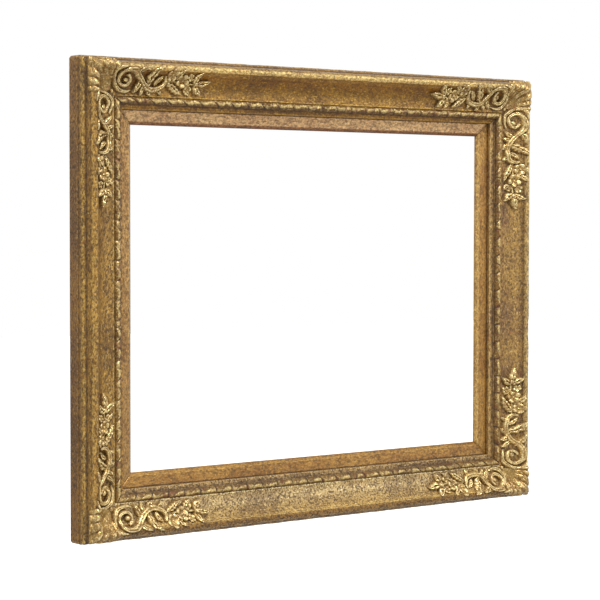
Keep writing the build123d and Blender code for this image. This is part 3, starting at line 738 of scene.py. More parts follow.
@dataclass(frozen=True)
class Moulding:
    """The moulding's section, with a softer torus than the rails' own, and its rails."""

    torus_inset: float = 6.5
    cove_inset: float = 18.5
    strip_inset: float = 49.5
    strip_width: float = 9.5
    lip_width: float = 6.5
    side_height: float = 19.0
    crest_height: float = 45.4
    shoulder_height: float = 47.0
    cove_height: float = 27.0
    seat_height: float = 24.5
    lip_height: float = 22.5
    lip_fall: float = 1.5
    lip_back: float = 15.0
    spacing: float = 0.75
    along_spacing: float = 2.3
    corner_radius: float = 5.0

    @property
    def rebate_inset(self) -> float:
        """Where the strip ends and the rebate's wall stands."""
        return self.strip_inset + self.strip_width

    def front(self) -> np.ndarray:
        """Torus and cove, as places of inset and height."""
        torus = self.cove_inset - self.torus_inset
        rise = self.crest_height - self.cove_height
        end = (self.torus_inset + 0.83 * torus, self.cove_height + 0.74 * rise)
        start = (self.cove_inset - 1.0, self.cove_height + 0.65 * rise)
        middle = (self.cove_inset + 0.40 * (self.strip_inset - self.cove_inset),
                  self.cove_height + 0.17 * 0.65 * rise)
        foot = (self.torus_inset, self.side_height + 0.80 * (self.crest_height - self.side_height))
        crest = (self.torus_inset + 0.46 * torus, self.crest_height)
        return np.vstack([arc_through(foot, crest, end, 24),
                          arc_through(start, middle, (self.strip_inset, self.cove_height), 40)])

    def face(self) -> np.ndarray:
        """The whole visible face, from the side's foot to the lip, spaced evenly."""
        climb = self.shoulder_height - self.side_height
        bead = arc_through((0.78, self.side_height + 0.16 * climb),
                           (1.6, self.side_height + 0.32 * climb),
                           (5.0, self.side_height + 0.41 * climb), 10)
        flank = arc_through((5.4, self.side_height + 0.46 * climb),
                            (5.6, self.side_height + 0.62 * climb), tuple(self.front()[0]), 8)
        corners = np.vstack([
            [(0, 0), (0, self.side_height), (0.78, self.side_height)], bead, flank[:-1],
            self.front(),
            [(self.strip_inset, self.seat_height), (self.rebate_inset, self.seat_height),
             (self.rebate_inset, self.lip_height),
             (self.rebate_inset + self.lip_width, self.lip_height - self.lip_fall),
             (self.rebate_inset + self.lip_width, self.lip_back)],
        ])
        return evenly(softened(corners, 0.5)[2:-2], self.spacing)

    def height_at(self, inset: np.ndarray) -> np.ndarray:
        """Height of the torus and cove at an inset."""
        line = self.front()
        order = line[:, 0].argsort()
        return np.interp(inset, line[order, 0], line[order, 1])

    def proud_at(self, inset: np.ndarray) -> np.ndarray:
        """How far full relief stands off the moulding: little on the torus, most in the cove."""
        return np.interp(inset, (4, 9, 13, 18, 24, 32, 42, 49.5),
                         (2.8, 4.4, 5.4, 7.4, 9.2, 9.6, 8.2, 6.6))

    def rounded(self, side: Side, run: np.ndarray, inset: np.ndarray) -> tuple:
        """Round the outer corners as seen from the front.

        Within a radius of the mitre, places move onto an arc that meets the mitre at
        half a right angle. The radius fades with the inset.

        Args:
            side: the side of the frame.
            run: places along the side.
            inset: their insets.

        Returns:
            The new runs and insets.
        """
        radius = self.corner_radius * np.clip(1 - inset / 10, 0.001, 1)
        room = side.run - inset - np.abs(run)
        turn = (1 - np.clip(room / radius, 0, 1)) * np.pi / 4
        room = np.where(turn > 0, radius * (1 - np.sin(turn)), room)
        pushed = inset + np.where(turn > 0, radius * (1 - np.cos(turn)), 0)
        return np.sign(run) * (side.run - inset - room), pushed

    def rail(self, side: Side, gold: bpy.types.Material, wood: bpy.types.Material,
             ornament: tuple, corner: tuple) -> bpy.types.Object:
        """Sweep one mitred rail.

        Each place of the section runs along the side to the mitres, as far as its inset allows. Painted shade
        mixed with grime in the hollows and a painted highlight on the crests come from how far the section
        lies from its own average, and the ground beside the ornament takes painted shade too.

        Args:
            side: the side of the frame.
            gold: the finish of the face.
            wood: the finish of the back.
            ornament: the pieces carved on one arm.
            corner: the pieces carved over the mitre.

        Returns:
            The rail.
        """
        face = self.face()
        back = np.array([(self.rebate_inset, self.lip_back), (self.rebate_inset, 0.0)])
        outline = np.vstack([face, back])
        ends = 1 - np.array([0.7, 1.5, 2.5, 3.6]) / side.run
        even = np.linspace(-1, 1, int(2 * side.run / self.along_spacing) + 1)
        share = np.sort(np.concatenate([even, ends, -ends]))
        count = len(share) - 1
        inset, height = outline[:, 0], outline[:, 1]
        run = share[:, None] * (side.run - inset[None, :])
        run, grid_inset = self.rounded(side, run, np.broadcast_to(inset, run.shape))
        grid_height = np.broadcast_to(height, run.shape)
        ahead = np.roll(outline, -1, axis=0) - np.roll(outline, 1, axis=0)
        normal = np.stack([-ahead[:, 1], ahead[:, 0]], axis=1)
        normal /= np.linalg.norm(normal, axis=1, keepdims=True)
        flat = side.place(run, grid_inset, grid_height)
        sway = (0.16 * RAIL_SWELL.at(flat) + 0.10 * RAIL_RIPPLE.at(flat)).reshape(run.shape)
        loose = np.interp(np.arange(len(outline)), (2, 20, len(face) - 14, len(face) - 4), (0, 1, 1, 0))
        shift = (sway - 0.12) * loose * np.clip((1 - np.abs(share)) * 40, 0, 1)[:, None]
        moved = np.maximum(grid_inset + normal[:, 0] * shift, 0.02)
        points = side.place(run, moved, grid_height + normal[:, 1] * shift)
        kernel = np.exp(-np.linspace(-1.8, 1.8, 13) ** 2)
        padded = np.pad(face, ((6, 6), (0, 0)), mode="edge")
        average = np.stack([np.convolve(padded[:, axis], kernel / kernel.sum(), "valid")
                            for axis in (0, 1)], axis=1)
        lean = np.append(((average - face) * normal[:len(face)]).sum(axis=1), [0, 0])
        # Painted shade with grime in the section's hollows, and a painted highlight on its crests
        shade_and_grime = np.broadcast_to(np.clip(lean / 0.5, 0, 1), run.shape)
        crest = np.broadcast_to(np.clip(-lean / 0.45, 0, 1), run.shape)
        place = side.run - np.abs(run)
        # Painted shade on the ground around the ornament
        ornament_shade = np.zeros(run.shape)
        zone = (grid_height > self.cove_height - 0.5) & (grid_inset < self.strip_inset) & (place < 200)
        _, gap = carved(ornament + corner, place[zone], grid_inset[zone])
        ornament_shade[zone] = np.exp(-np.maximum(gap, 0) / 1.3)
        shade_and_grime = np.maximum(shade_and_grime * 0.8, ornament_shade * 0.5)
        across = grid_inset / (self.rebate_inset + self.lip_width)
        shell = swept(points, count, {"shade_and_grime": shade_and_grime, "crest": crest, "across": across})
        piece = shell.build("moulding_" + side.name.lower(), [gold, wood],
                            bare_wood(len(face) - 1, len(outline), count))
        return settle(piece, "gilded_moulding", "rail_" + side.name.lower())


@dataclass(frozen=True)
class RunningStrip:
    """The leaf-and-ribbon strip on the sight edge."""

    moulding: Moulding
    rise: float = 6.3
    pitch: float = 25.4
    spacing: float = 0.85
    across: int = 23

    def rail(self, side: Side, gold: bpy.types.Material, rubbed: float) -> bpy.types.Object:
        """Carve one length of the strip.

        The section is a half ellipse. Each pitch is one leaf: its crest wanders across as a sine, one deep
        slanted nick parts it from the next and a shallow cut crosses its middle. The nicks are rubbed to the
        bole. A painted highlight follows the crest, and painted shade with grime darkens the nicks and the
        strip's foot.

        Args:
            side: the side of the frame.
            gold: the finish.
            rubbed: how much bole shows in the nicks.

        Returns:
            The strip.
        """
        start, width = self.moulding.strip_inset, self.moulding.strip_width
        angle = np.linspace(0, np.pi, self.across)
        crosswise = -np.cos(angle)
        inset = np.concatenate([start + width / 2 * (1 + crosswise), [start + width - 0.1, start + 0.1]])
        dome = np.concatenate([np.sin(angle) ** 1.2, [0, 0]])
        count = int(2 * (side.run - start) / self.spacing)
        share = np.linspace(-1, 1, count + 1)
        run = share[:, None] * (side.run - inset[None, :])
        turns = np.round(2 * (side.run - start) / self.pitch)
        phase = ((share[:, None] + 1) / 2 * turns + 0 * run) % 1
        sideways = np.concatenate([crosswise, [1, -1]])[None]
        wave = sideways + 0.22 * np.sin(2 * np.pi * phase)
        nick = np.exp(-((((phase + 0.10 * sideways) + 0.5) % 1 - 0.5) / 0.055) ** 2)
        cut = np.exp(-((((phase - 0.12 * sideways) + 0.08) % 1 - 0.5) / 0.045) ** 2)
        swell = 0.72 + 0.28 * np.sin(np.pi * phase) ** 0.5
        flat = side.place(run, np.broadcast_to(inset, run.shape), np.full(run.shape, 28.0))
        worn = (0.6 * STRIP_WEAR.at(flat) + 0.25 * STRIP_CHIPS.at(flat)).reshape(run.shape)
        form = swell * (1 - 0.65 * nick - 0.4 * cut) * (1 - 0.3 * np.clip(worn, -0.2, 1))
        height = (self.moulding.seat_height + 1.3
                  + (self.rise - 1.5) * dome * (0.3 + 0.7 * np.clip(form, 0, 1)))
        height[:, -2:] = self.moulding.seat_height - 0.4
        # Painted highlight along the wandering ridge; painted shade with grime in the nicks and at the
        # strip's foot
        ridge = np.exp(-((wave + 0.08) / 0.38) ** 2) * dome
        sunk = (nick + 0.5 * cut) * np.clip(0.6 + 0.8 * sideways, 0, 1)
        shade_and_grime = np.clip(sunk * 0.9 + (1 - dome) * 0.35, 0, 1)
        crest = np.clip(ridge * (1.3 - nick - 0.4 * cut) * (1 - 0.6 * worn), 0, 1)
        rub = rubbed * np.clip(nick + cut * 0.6 + 0.3 * np.exp(-(phase - 0.12) ** 2 / 0.01), 0, 1) * dome
        points = side.place(run, np.broadcast_to(inset, run.shape), height)
        shell = swept(points, count, {"shade_and_grime": shade_and_grime, "crest": crest, "rub": rub})
        piece = shell.build("leaf_strip_" + side.name.lower(), [gold],
                            [np.zeros(len(group), int) for group in shell.faces])
        return settle(piece, "gilded_strip", "sight_strip_" + side.name.lower())


@dataclass(frozen=True)
class Liner:
    """The flat liner inside the moulding, with a bevel at the sight edge."""

    start: float = 59.5
    lip: float = 65.5
    bevel: float = 80.2
    sight: float = 84.5
    ledge: float = 77.4
    back: float = 3.0
    ledge_height: float = 7.6
    sight_height: float = 10.0
    bevel_height: float = 13.5
    face_height: float = 15.0
    spacing: float = 4.0

    def rail(self, side: Side, gold: bpy.types.Material, wood: bpy.types.Material) -> bpy.types.Object:
        """Sweep one mitred liner rail with soft edges.

        Args:
            side: the side of the frame.
            gold: the finish of the face and bevel.
            wood: the finish of the back.

        Returns:
            The liner rail.
        """
        fall = (self.face_height - self.bevel_height) / (self.bevel - self.lip)
        slope = [(self.lip + step, self.face_height - fall * step) for step in (0.9, 1.8, 7.0, 13.4)]
        face = np.array([(self.start, self.face_height), (self.lip, self.face_height), *slope,
                         (self.bevel, self.bevel_height), (self.sight, self.sight_height),
                         (self.sight, self.ledge_height)])
        back = np.array([(self.ledge, self.ledge_height), (self.ledge, self.back),
                         (self.start, self.back)])
        outline = softened(np.vstack([face, back]), 0.35)
        count = int(2 * side.run / self.spacing)
        share = np.linspace(-1, 1, count + 1)
        inset, height = outline[:, 0], outline[:, 1]
        run = share[:, None] * (side.run - inset[None, :])
        points = side.place(run, np.broadcast_to(inset, run.shape), np.broadcast_to(height, run.shape))
        # Painted shadow under the moulding's lip, on the liner's outer edge
        dark = np.interp(inset, (self.start, self.lip + 0.3, self.lip + 1.5), (1.0, 1.0, 0.0)) * (height > 12)
        # Painted highlight along the bevel's edge
        edge = np.exp(-(np.hypot(inset - self.bevel, height - self.bevel_height) / 0.9) ** 2)
        across = (inset - self.start) / (self.sight - self.start)
        shell = swept(points, count, {"shade_and_grime": dark, "crest": edge, "across": across})
        piece = shell.build("sight_liner_" + side.name.lower(), [gold, wood],
                            bare_wood(3 * len(face) - 1, len(outline), count))
        return settle(piece, "gilded_liner", "liner_" + side.name.lower())


@dataclass(frozen=True)
class Carving:
    """The ornament of a corner: fan, scrolls and flower sprays, carved as relief grids."""

    moulding: Moulding
    spacing: float = 0.55
    skirt: float = 0.8
    volute: tuple = (62.0, 28.5)

    def scroll(self) -> tuple:
        """The pieces of a scroll: its S line runs into the volute, which winds to its eye."""
        angle = np.linspace(-0.5 * np.pi, -2.3 * np.pi, 18)
        radius = np.linspace(12.0, 7.2, 18)
        coil = np.stack([self.volute[0] + radius * np.cos(angle),
                         self.volute[1] + radius * np.sin(angle)], axis=1)
        ridge = [(121, 23), (122, 29), (118.5, 35.5), (110, 39.2), (101, 39.6), (92, 36), (84.5, 28),
                 (77, 20), (70, 16.8)]
        line = tuple(ridge) + tuple(map(tuple, coil))
        return (
            Ridge(line, (3.4, 6.6, 8.2, 9.0, 9.0, 8.4, 7.6, 7.0, 6.6, 6.2, 6.0, 5.8, 5.4, 4.8, 4.0),
                  (0.7, 1.0, 1.0, 1.0, 0.95, 0.9, 0.95, 1.0, 1.0, 0.95, 0.85, 0.7), 0.26),
            Boss((self.volute[0] + 3.0, self.volute[1] + 1.5), 4.2, 0.7, 0.0),
            Ridge(((45.6, 22), (46.6, 33), (53.5, 42.4), (64, 45), (72, 42.6)), (2.0, 5.6, 6.4, 5.0, 1.8),
                  (0.5, 0.85, 0.85, 0.7, 0.4), 0.3),
            Ridge(((44, 21), (48.5, 14.4), (57, 12.2)), (2.0, 5.0, 2.2), (0.6, 0.95, 0.6), 0.2),
            Leaf(((97, 37), (99, 26), (105, 17), (112, 12.2)), 12.5, 0.9, 4, 0.2),
            Leaf(((108, 35), (111, 28), (117, 22)), 7.5, 0.6, 3),
            Leaf(((86, 29), (82, 37), (76, 45.5)), 8.4, 0.8, 3),
            Leaf(((90, 34), (89, 40), (87, 47.5)), 7.4, 0.75, 3),
            Leaf(((98, 38), (99, 43), (103, 48)), 7.4, 0.7, 3),
            Leaf(((112, 37), (116, 42), (118, 47)), 6.6, 0.6, 3),
            Leaf(((76, 25), (83, 17.5), (94, 13)), 7.0, 0.66, 3),
        )

    def spray(self) -> tuple:
        """The pieces of a flower spray: leaves and blossoms on a stem that ends in a bud."""
        return (
            Ridge(((123.5, 30), (134, 30), (150, 31), (166, 31), (176, 31)), (3.0, 3.4, 3.0, 3.0, 3.4),
                  (0.35, 0.4, 0.35, 0.4, 0.5)),
            Leaf(((125, 32), (133, 36.5), (141, 42), (149, 45)), 10.5, 0.8, 5, 0.2),
            Leaf(((140, 28), (142, 21), (149, 14.5)), 8.6, 0.7, 4, 0.15),
            Leaf(((154, 34), (157, 41), (163, 45.5)), 7.8, 0.6, 4, 0.15),
            Blossom((131.5, 21.5), 8.8, 5, 0.3, 0.9),
            Blossom((148, 29), 9.6, 5, 1.1, 1.0),
            Blossom((160.5, 23), 5.4, 5, 0.7, 0.7),
            Blossom((158.5, 37.5), 5.8, 4, 0.1, 0.65),
            Leaf(((168, 31), (170.5, 24), (175.5, 15.5)), 10.0, 0.9, 3),
            Leaf(((168, 31), (178, 30), (191, 27)), 10.0, 0.95, 3),
            Leaf(((168, 31), (171, 38), (178, 45)), 10.0, 0.9, 3),
            Boss((170.5, 31), 3.6, 1.0, 0.2),
        )

    def fan(self) -> tuple:
        """The pieces over the mitre: the shell and a bead at its hinge."""
        return (Fan(), Boss((44.0, 44.0), 2.6, 0.5, 0.0))

    def laid(self, name: str, corner: str, arm: Arm, pieces: tuple, window: tuple, nodes: tuple,
             gold: bpy.types.Material) -> bpy.types.Object:
        """Carve pieces on a grid laid over the moulding.

        Each grid point stands off the moulding by its relief times how proud relief is
        there, and sinks below it outside the pieces. Cells near the pieces are kept,
        with a closed underside sunk in the moulding and walls at their rim.

        Args:
            name: the object's name.
            corner: the corner's name.
            arm: the arm that the pieces are measured along.
            pieces: what is carved.
            window: lowest and highest run, then lowest and highest inset.
            nodes: the CAD nodes that it stands for.
            gold: the finish.

        Returns:
            The carving.
        """
        run_low, run_high, inset_low, inset_high = window
        run_marks = np.arange(run_low, run_high, self.spacing)
        inset_marks = np.arange(inset_low, inset_high, self.spacing)
        run, inset = np.meshgrid(run_marks, inset_marks, indexing="ij")
        over_mitre = np.minimum(run, inset)
        ground = self.moulding.height_at(over_mitre)
        flat = corner_points(corner, arm, run, inset, ground)
        swerve, sway = (hand.at(flat).reshape(run.shape) for hand in (HAND_SWERVE, HAND_SWAY))
        relief, gap = carved(pieces, run + 0.9 * swerve, inset + 0.7 * sway)
        tool = (0.2 * TOOL_MARKS.at(flat) + 0.8 * TOOL_DRIFT.at(flat)).reshape(run.shape)
        wear = np.clip(1 - 0.08 + 0.16 * tool, 0.5, 1.04)
        stand = relief * self.moulding.proud_at(over_mitre) * wear - 1.9 * gap
        sink = np.maximum(stand, -1.2)
        body = np.maximum(stand, 0)
        spread = flow(body, 26)
        # Painted shade with grime in the carving's hollows and on its lowest ground, and a painted highlight
        # on its peaks
        shade_and_grime = 0.72 * np.clip((spread - body) / 1.6, 0, 1) + np.clip(0.5 - body, 0, 1) * 0.2
        crest = np.clip((body - spread) / 1.4, 0, 1)
        top = corner_points(corner, arm, run, inset, ground + sink)
        bottom = corner_points(corner, arm, run, inset, ground - 1.8)
        keep = (gap[:-1, :-1] < self.skirt) | (gap[1:, 1:] < self.skirt)
        shell = self.closed(top, bottom, keep, run.shape, {"shade_and_grime": np.clip(shade_and_grime, 0, 1), "crest": crest})
        indices = [np.zeros(len(group), int) for group in shell.faces]
        piece = shell.build(name, [gold], indices)
        return settle(piece, "gilded_ornament", *nodes)

    @staticmethod
    def closed(top: np.ndarray, bottom: np.ndarray, keep: np.ndarray, shape: tuple, values: dict) -> Shell:
        """Close the kept cells of a grid with an underside and walls.

        A wall stands on each edge between a kept cell and one that isn't, turned so
        that it meets the top face that it hangs from the other way round.
        """
        rows, columns = shape
        index = np.arange(rows * columns).reshape(shape)
        count = rows * columns
        corner = (index[:-1, :-1], index[1:, :-1], index[1:, 1:], index[:-1, 1:])
        tops = np.stack([part[keep] for part in corner], axis=1)
        wide = np.pad(keep, 1)
        open_sides = (keep & ~wide[1:-1, :-2], keep & ~wide[2:, 1:-1],
                      keep & ~wide[1:-1, 2:], keep & ~wide[:-2, 1:-1])
        walls = []
        for side, edge in enumerate(open_sides):
            first, second = corner[side][edge], corner[(side + 1) % 4][edge]
            walls.append(np.stack([second, first, first + count, second + count], axis=1))
        faces = np.concatenate([tops, tops[:, ::-1] + count, *walls])
        used, compact = np.unique(faces, return_inverse=True)
        points = np.vstack([top, bottom])[used]
        both = {label: np.concatenate([grid.ravel()] * 2)[used] for label, grid in values.items()}
        return Shell(points, [compact.reshape(faces.shape)], both)

    def corner(self, name: str, gold: bpy.types.Material) -> None:
        """Carve everything at one corner."""
        self.laid("fan_" + name, name, Arm.ACROSS, self.fan(), (3.2, 49.0, 3.2, 49.0),
                  ("corner_leaf_" + name,), gold)
        for arm in Arm:
            tail = name + "_" + arm.value
            self.laid("scrollwork_" + tail, name, arm, self.scroll(), (42.0, 124.5, 9.5, 49.3),
                      ("scroll_" + tail,), gold)
            self.laid("spray_" + tail, name, arm, self.spray(), (121.0, 192.0, 11.5, 49.3),
                      ("flower_spray_" + tail,), gold)


@dataclass(frozen=True)
class Hardware:
    """What is fixed behind: hangers, rings, buttons, points, wedges and screws."""

    steel: Metal = Metal("aged_steel", paint(150, 148, 144), paint(96, 84, 72))
    plated: Metal = Metal("dull_plating", paint(176, 170, 158), paint(122, 108, 88))
    brass: Metal = Metal("dull_brass", paint(182, 150, 84), paint(112, 84, 44))

    def dress(self) -> None:
        """Give every carried-over node of the hardware its metal."""
        metals = {
            "hanger_plate": self.plated.material(),
            "hanger_ring": self.plated.material(),
            "turn_button_screws": self.steel.material(),
            "turn_button": self.brass.material(),
        }
        rest = self.steel.material()
        for name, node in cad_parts.items():
            starts = [start for start in metals if name.startswith(start)]
            finish = metals[max(starts, key=len)] if starts else rest
            if name.startswith(("rail_v", "liner_v", "liner_points", "hanger", "turn")):
                for holder in node.material_slots:
                    holder.link = "OBJECT"
                    holder.material = finish
                log.info("%s: %s", name, finish.name)


@dataclass(frozen=True)
class Studio:
    """Camera, lamps, floor and backdrop."""

    camera_place: tuple = (-1736.33, -2206.10, 107.78)
    heading: float = 37.945
    pitch: float = -2.371
    roll: float = 0.098
    focal_pixels: float = 2049.43
    film: float = 36.0
    floor_drop: float = 360.0
    floor_reach: float = 9000.0

    def camera(self) -> None:
        """Set the camera where the photograph was taken from."""
        lens = bpy.data.cameras.new("view")
        lens.sensor_width = self.film
        lens.lens = self.focal_pixels * self.film / SHEET
        lens.clip_end = 50
        eye = bpy.data.objects.new("view", lens)
        turn = (Matrix.Rotation(np.radians(-self.heading), 4, "Z")
                @ Matrix.Rotation(np.radians(90 + self.pitch), 4, "X")
                @ Matrix.Rotation(np.radians(self.roll), 4, "Z"))
        eye.matrix_world = Matrix.Translation(Vector(self.camera_place) * MM) @ turn
        bpy.context.scene.collection.objects.link(eye)
        bpy.context.scene.camera = eye

    def lamp(self, name: str, place: tuple, size: float, energy: float, colour: tuple) -> None:
        """Hang a soft square lamp that faces the frame."""
        light = bpy.data.lights.new(name, "AREA")
        light.shape, light.size = "SQUARE", size
        light.energy, light.color = energy, colour
        holder = bpy.data.objects.new(name, light)
        holder.location = place
        holder.rotation_euler = Vector(place).to_track_quat("Z", "Y").to_euler()
        bpy.context.scene.collection.objects.link(holder)

    def world(self) -> None:
        """Soft even light, and a white backdrop for the camera and for reflections."""
        world = bpy.data.worlds.new("studio")
        world.use_nodes = True
        tree = world.node_tree
        tree.nodes.clear()
        ray = tree.nodes.new("ShaderNodeLightPath")
        direct, seen = (tree.nodes.new("ShaderNodeMath") for _ in range(2))
        direct.operation = seen.operation = "MAXIMUM"
        soft, white = (tree.nodes.new("ShaderNodeBackground") for _ in range(2))
        soft.inputs[0].default_value, soft.inputs[1].default_value = (0.95, 0.97, 1.0, 1), 0.42
        white.inputs[0].default_value, white.inputs[1].default_value = (1, 1, 1, 1), 1.0
        mix, out = tree.nodes.new("ShaderNodeMixShader"), tree.nodes.new("ShaderNodeOutputWorld")
        for source, target in (
                (ray.outputs["Is Camera Ray"], direct.inputs[0]),
                (ray.outputs["Is Transmission Ray"], direct.inputs[1]),
                (direct.outputs[0], seen.inputs[0]), (ray.outputs["Is Glossy Ray"], seen.inputs[1]),
                (seen.outputs[0], mix.inputs[0]), (soft.outputs[0], mix.inputs[1]),
                (white.outputs[0], mix.inputs[2]), (mix.outputs[0], out.inputs[0])):
            tree.links.new(source, target)
        bpy.context.scene.world = world

    def floor(self) -> None:
        """A plain pale floor below the frame, white to the camera, that keeps a shadow."""
        graph = Graph("pale_floor")
        ray = graph.node("ShaderNodeLightPath", {}, {})
        matt = graph.node("ShaderNodeBsdfDiffuse", {}, {0: (0.8, 0.8, 0.8, 1)})
        glow = graph.node("ShaderNodeEmission", {}, {0: (1, 1, 1, 1), 1: ray.outputs["Is Camera Ray"]})
        both = graph.node("ShaderNodeAddShader", {}, {0: matt.outputs[0], 1: glow.outputs[0]})
        graph.node("ShaderNodeOutputMaterial", {}, {0: both.outputs[0]})
        reach, level = self.floor_reach * MM, -(HALF_HEIGHT + self.floor_drop) * MM
        points = np.array([(-1, -1, 0), (1, -1, 0), (1, 1, 0), (-1, 1, 0)]) * reach + (0, 0, level)
        mesh = bpy.data.meshes.new("floor")
        mesh.from_pydata(points.tolist(), [], [(0, 1, 2, 3)])
        mesh.materials.append(graph.material)
        ground = bpy.data.objects.new("floor", mesh)
        bpy.context.scene.collection.objects.link(ground)

    def build(self) -> None:
        """Set up the whole studio."""
        self.camera()
        self.world()
        self.floor()
        self.lamp("key", (-1.0, -1.8, 3.3), 1.5, 135.0, (1.0, 0.97, 0.93))
        self.lamp("fill", (2.2, -2.6, 0.9), 2.4, 22.0, (0.95, 0.97, 1.0))
        view = bpy.context.scene.view_settings
        view.view_transform = "Standard"


# Finishes

# Tones across a rail: the share of its width, and the tint there. These tints are mostly painted light:
# bright bands where the moulding is lit and dark bands where it is in shade, with some of each rail's own
# tone.


def liner_tints_and_painted_light(face: tuple, bevel: tuple, edge: tuple) -> tuple:
    """Tones across a liner: even over its face, then from its bevel to the sight edge, where a darker bevel
    is painted shade and a brighter one a painted highlight.
    """
    return ((0.0, face), (0.78, face), (0.86, bevel), (1.0, edge))


# Top rail: a painted highlight on the torus, with the rest darker, most of all its outer side and the upper
# cove
TOP_TINTS_AND_PAINTED_LIGHT = ((0.0, (0.38, 0.34, 0.3)), (0.13, (0.38, 0.34, 0.3)), (0.17, (0.82, 0.88, 1)),
             (0.24, (1, 1, 1)), (0.27, (0.72, 0.66, 0.55)), (0.33, (0.5, 0.37, 0.1)),
             (0.50, (0.52, 0.43, 0.15)), (0.62, (0.6, 0.54, 0.33)), (1.0, (0.45, 0.35, 0.16)))
# Bottom rail: a painted highlight along the torus's inner side, painted shade on its outer side, and a
# lighter silvery cove, partly its own tone and partly painted light
BOTTOM_TINTS_AND_PAINTED_LIGHT = ((0.0, (0.3, 0.25, 0.21)), (0.13, (0.3, 0.23, 0.14)), (0.20, (0.18, 0.11, 0.03)),
                (0.235, (0.3, 0.23, 0.12)), (0.25, (1, 0.98, 0.8)), (0.272, (1, 0.96, 0.78)),
                (0.30, (0.67, 0.62, 0.51)), (0.46, (0.57, 0.55, 0.51)), (0.58, (0.78, 0.8, 0.89)),
                (0.70, (0.89, 0.89, 0.9)), (1.0, (0.35, 0.29, 0.22)))
# Left rail: lighter and darker bands across its width, painted light and shade, with some of its own tone
LEFT_TINTS_AND_PAINTED_LIGHT = ((0.0, (0.63, 0.56, 0.48)), (0.045, (0.9, 0.95, 1)), (0.13, (0.84, 0.79, 0.74)),
              (0.20, (0.62, 0.56, 0.44)), (0.27, (0.86, 0.82, 0.76)), (0.46, (0.95, 0.98, 1)),
              (0.70, (0.78, 0.82, 0.95)), (1.0, (0.68, 0.55, 0.36)))
# Right rail: lighter and darker bands across its width, painted light and shade, with some of its own tone
RIGHT_TINTS_AND_PAINTED_LIGHT = ((0.0, (0.8, 0.75, 0.7)), (0.17, (0.85, 0.88, 0.9)), (0.24, (0.6, 0.58, 0.58)),
               (0.35, (1, 1, 1)), (0.58, (0.76, 0.74, 0.7)), (0.72, (0.67, 0.61, 0.58)),
               (1.0, (0.8, 0.8, 0.84)))
# Each side of the moulding and of the liner has its own copy of the gold, lighter or darker and tinted:
# partly the rail's own tone and partly painted light
TOP_GOLD = Gilding("gilding_top", paint(150, 116, 56), paint(214, 186, 118), paint(104, 74, 34),
                   stretch=(0.7, 1, 1), bole_share=0.35, speck_share=0.5, tints_and_painted_light=TOP_TINTS_AND_PAINTED_LIGHT, gain=1.9)
BOTTOM_GOLD = Gilding("gilding_bottom", paint(160, 136, 88), paint(226, 206, 156), paint(110, 88, 56),
                      bole_share=0.2, speck_share=0.85, relief=0.7, tints_and_painted_light=BOTTOM_TINTS_AND_PAINTED_LIGHT, gain=2.2)
LEFT_GOLD = Gilding("gilding_left", paint(166, 124, 54), paint(222, 186, 104), paint(112, 78, 32),
                    stretch=(1, 1, 0.6), bole_share=0.4, speck_share=0.75, tints_and_painted_light=LEFT_TINTS_AND_PAINTED_LIGHT, gain=1.15)
RIGHT_GOLD = Gilding("gilding_right", paint(152, 120, 66), paint(208, 178, 112), paint(112, 84, 60),
                     stretch=(1, 1, 0.6), bole_share=0.5, speck_share=0.7, tints_and_painted_light=RIGHT_TINTS_AND_PAINTED_LIGHT, gain=1.45)
STRIP_GOLD = Gilding("gilding_strip", paint(142, 104, 46), paint(236, 208, 138), paint(96, 64, 28),
                     bole=paint(116, 50, 30), bright_share=0.8, bole_share=0.7, speck_share=0.4, gain=0.85)
CARVED_GOLD = Gilding("gilding_carved", paint(160, 129, 69), paint(244, 224, 164), paint(120, 90, 48),
                      shade_and_grime_tone=paint(92, 62, 34), bright_share=0.7, bole_share=0.5, speck_share=0.4,
                      smooth=0.26, metal=0.55, gain=1.15)
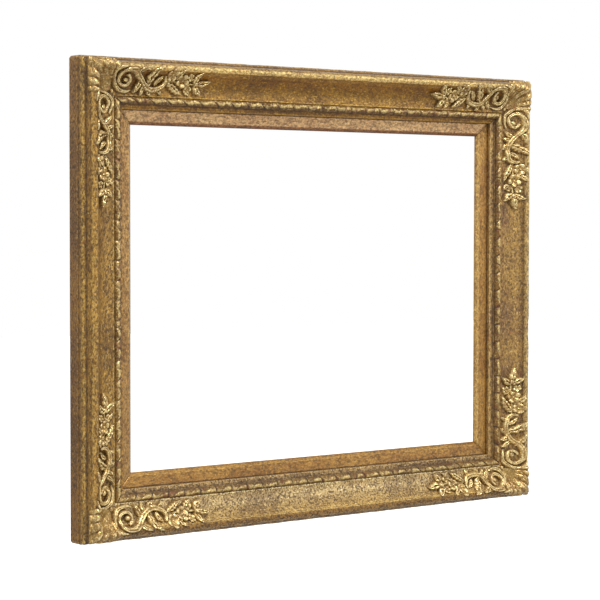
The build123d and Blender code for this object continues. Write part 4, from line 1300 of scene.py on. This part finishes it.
# Top liner: painted shade on its bevel, which faces down
LINER_TOP = Gilding("liner_top_gold", paint(188, 154, 106), paint(212, 184, 138), paint(162, 124, 84),
                    bole_share=0.15, speck_share=0.55, stretch=(0.6, 1, 1), relief=0.35, gain=1.15,
                    tints_and_painted_light=liner_tints_and_painted_light((1, 0.95, 0.9), (0.5, 0.32, 0.22), (0.4, 0.27, 0.18)))
LINER_BOTTOM = Gilding("liner_bottom_gold", paint(160, 118, 54), paint(184, 144, 76), paint(128, 86, 36),
                       bole_share=0.25, speck_share=0.55, stretch=(0.6, 1, 1), relief=0.35)
LINER_LEFT = Gilding("liner_left_gold", paint(162, 124, 70), paint(194, 158, 98), paint(128, 90, 44),
                     bole_share=0.3, speck_share=0.55, stretch=(1, 1, 0.6), relief=0.35)
# Right liner: a painted highlight on its bevel, over a darker face
LINER_RIGHT = Gilding("liner_right_gold", paint(178, 142, 80), paint(208, 174, 110), paint(142, 102, 54),
                      bole_share=0.15, speck_share=0.5, stretch=(1, 1, 0.6), relief=0.35, gain=1.1,
                      tints_and_painted_light=liner_tints_and_painted_light((0.78, 0.68, 0.5), (1, 1, 0.95), (1, 1, 0.95)))
WOOD = BareWood("bare_wood")
WOOD_UPRIGHT = BareWood("bare_wood_upright", stretch=(12, 12, 1))


def main() -> None:
    """Build the frame's looks in order: rails, strips, liner, carving, hardware, studio."""
    moulding = Moulding()
    carving = Carving(moulding)
    strip = RunningStrip(moulding)
    liner = Liner()
    gold = {Side.TOP: TOP_GOLD, Side.BOTTOM: BOTTOM_GOLD, Side.LEFT: LEFT_GOLD, Side.RIGHT: RIGHT_GOLD}
    sight = {Side.TOP: LINER_TOP, Side.BOTTOM: LINER_BOTTOM, Side.LEFT: LINER_LEFT, Side.RIGHT: LINER_RIGHT}
    level_wood, upright_wood = WOOD.material(), WOOD_UPRIGHT.material()
    strip_gold, carved_gold = STRIP_GOLD.material(), CARVED_GOLD.material()
    finishes = {finish: finish.material() for finish in (*gold.values(), *sight.values())}
    for side in Side:
        wood = level_wood if side.level else upright_wood
        moulding.rail(side, finishes[gold[side]], wood, carving.scroll() + carving.spray(), carving.fan())
        strip.rail(side, strip_gold, 1.0 if side is Side.RIGHT else 0.5)
        liner.rail(side, finishes[sight[side]], wood)
    for corner in CORNERS:
        carving.corner(corner, carved_gold)
    Hardware().dress()
    Studio().build()


if __name__ == "__main__":
    main()
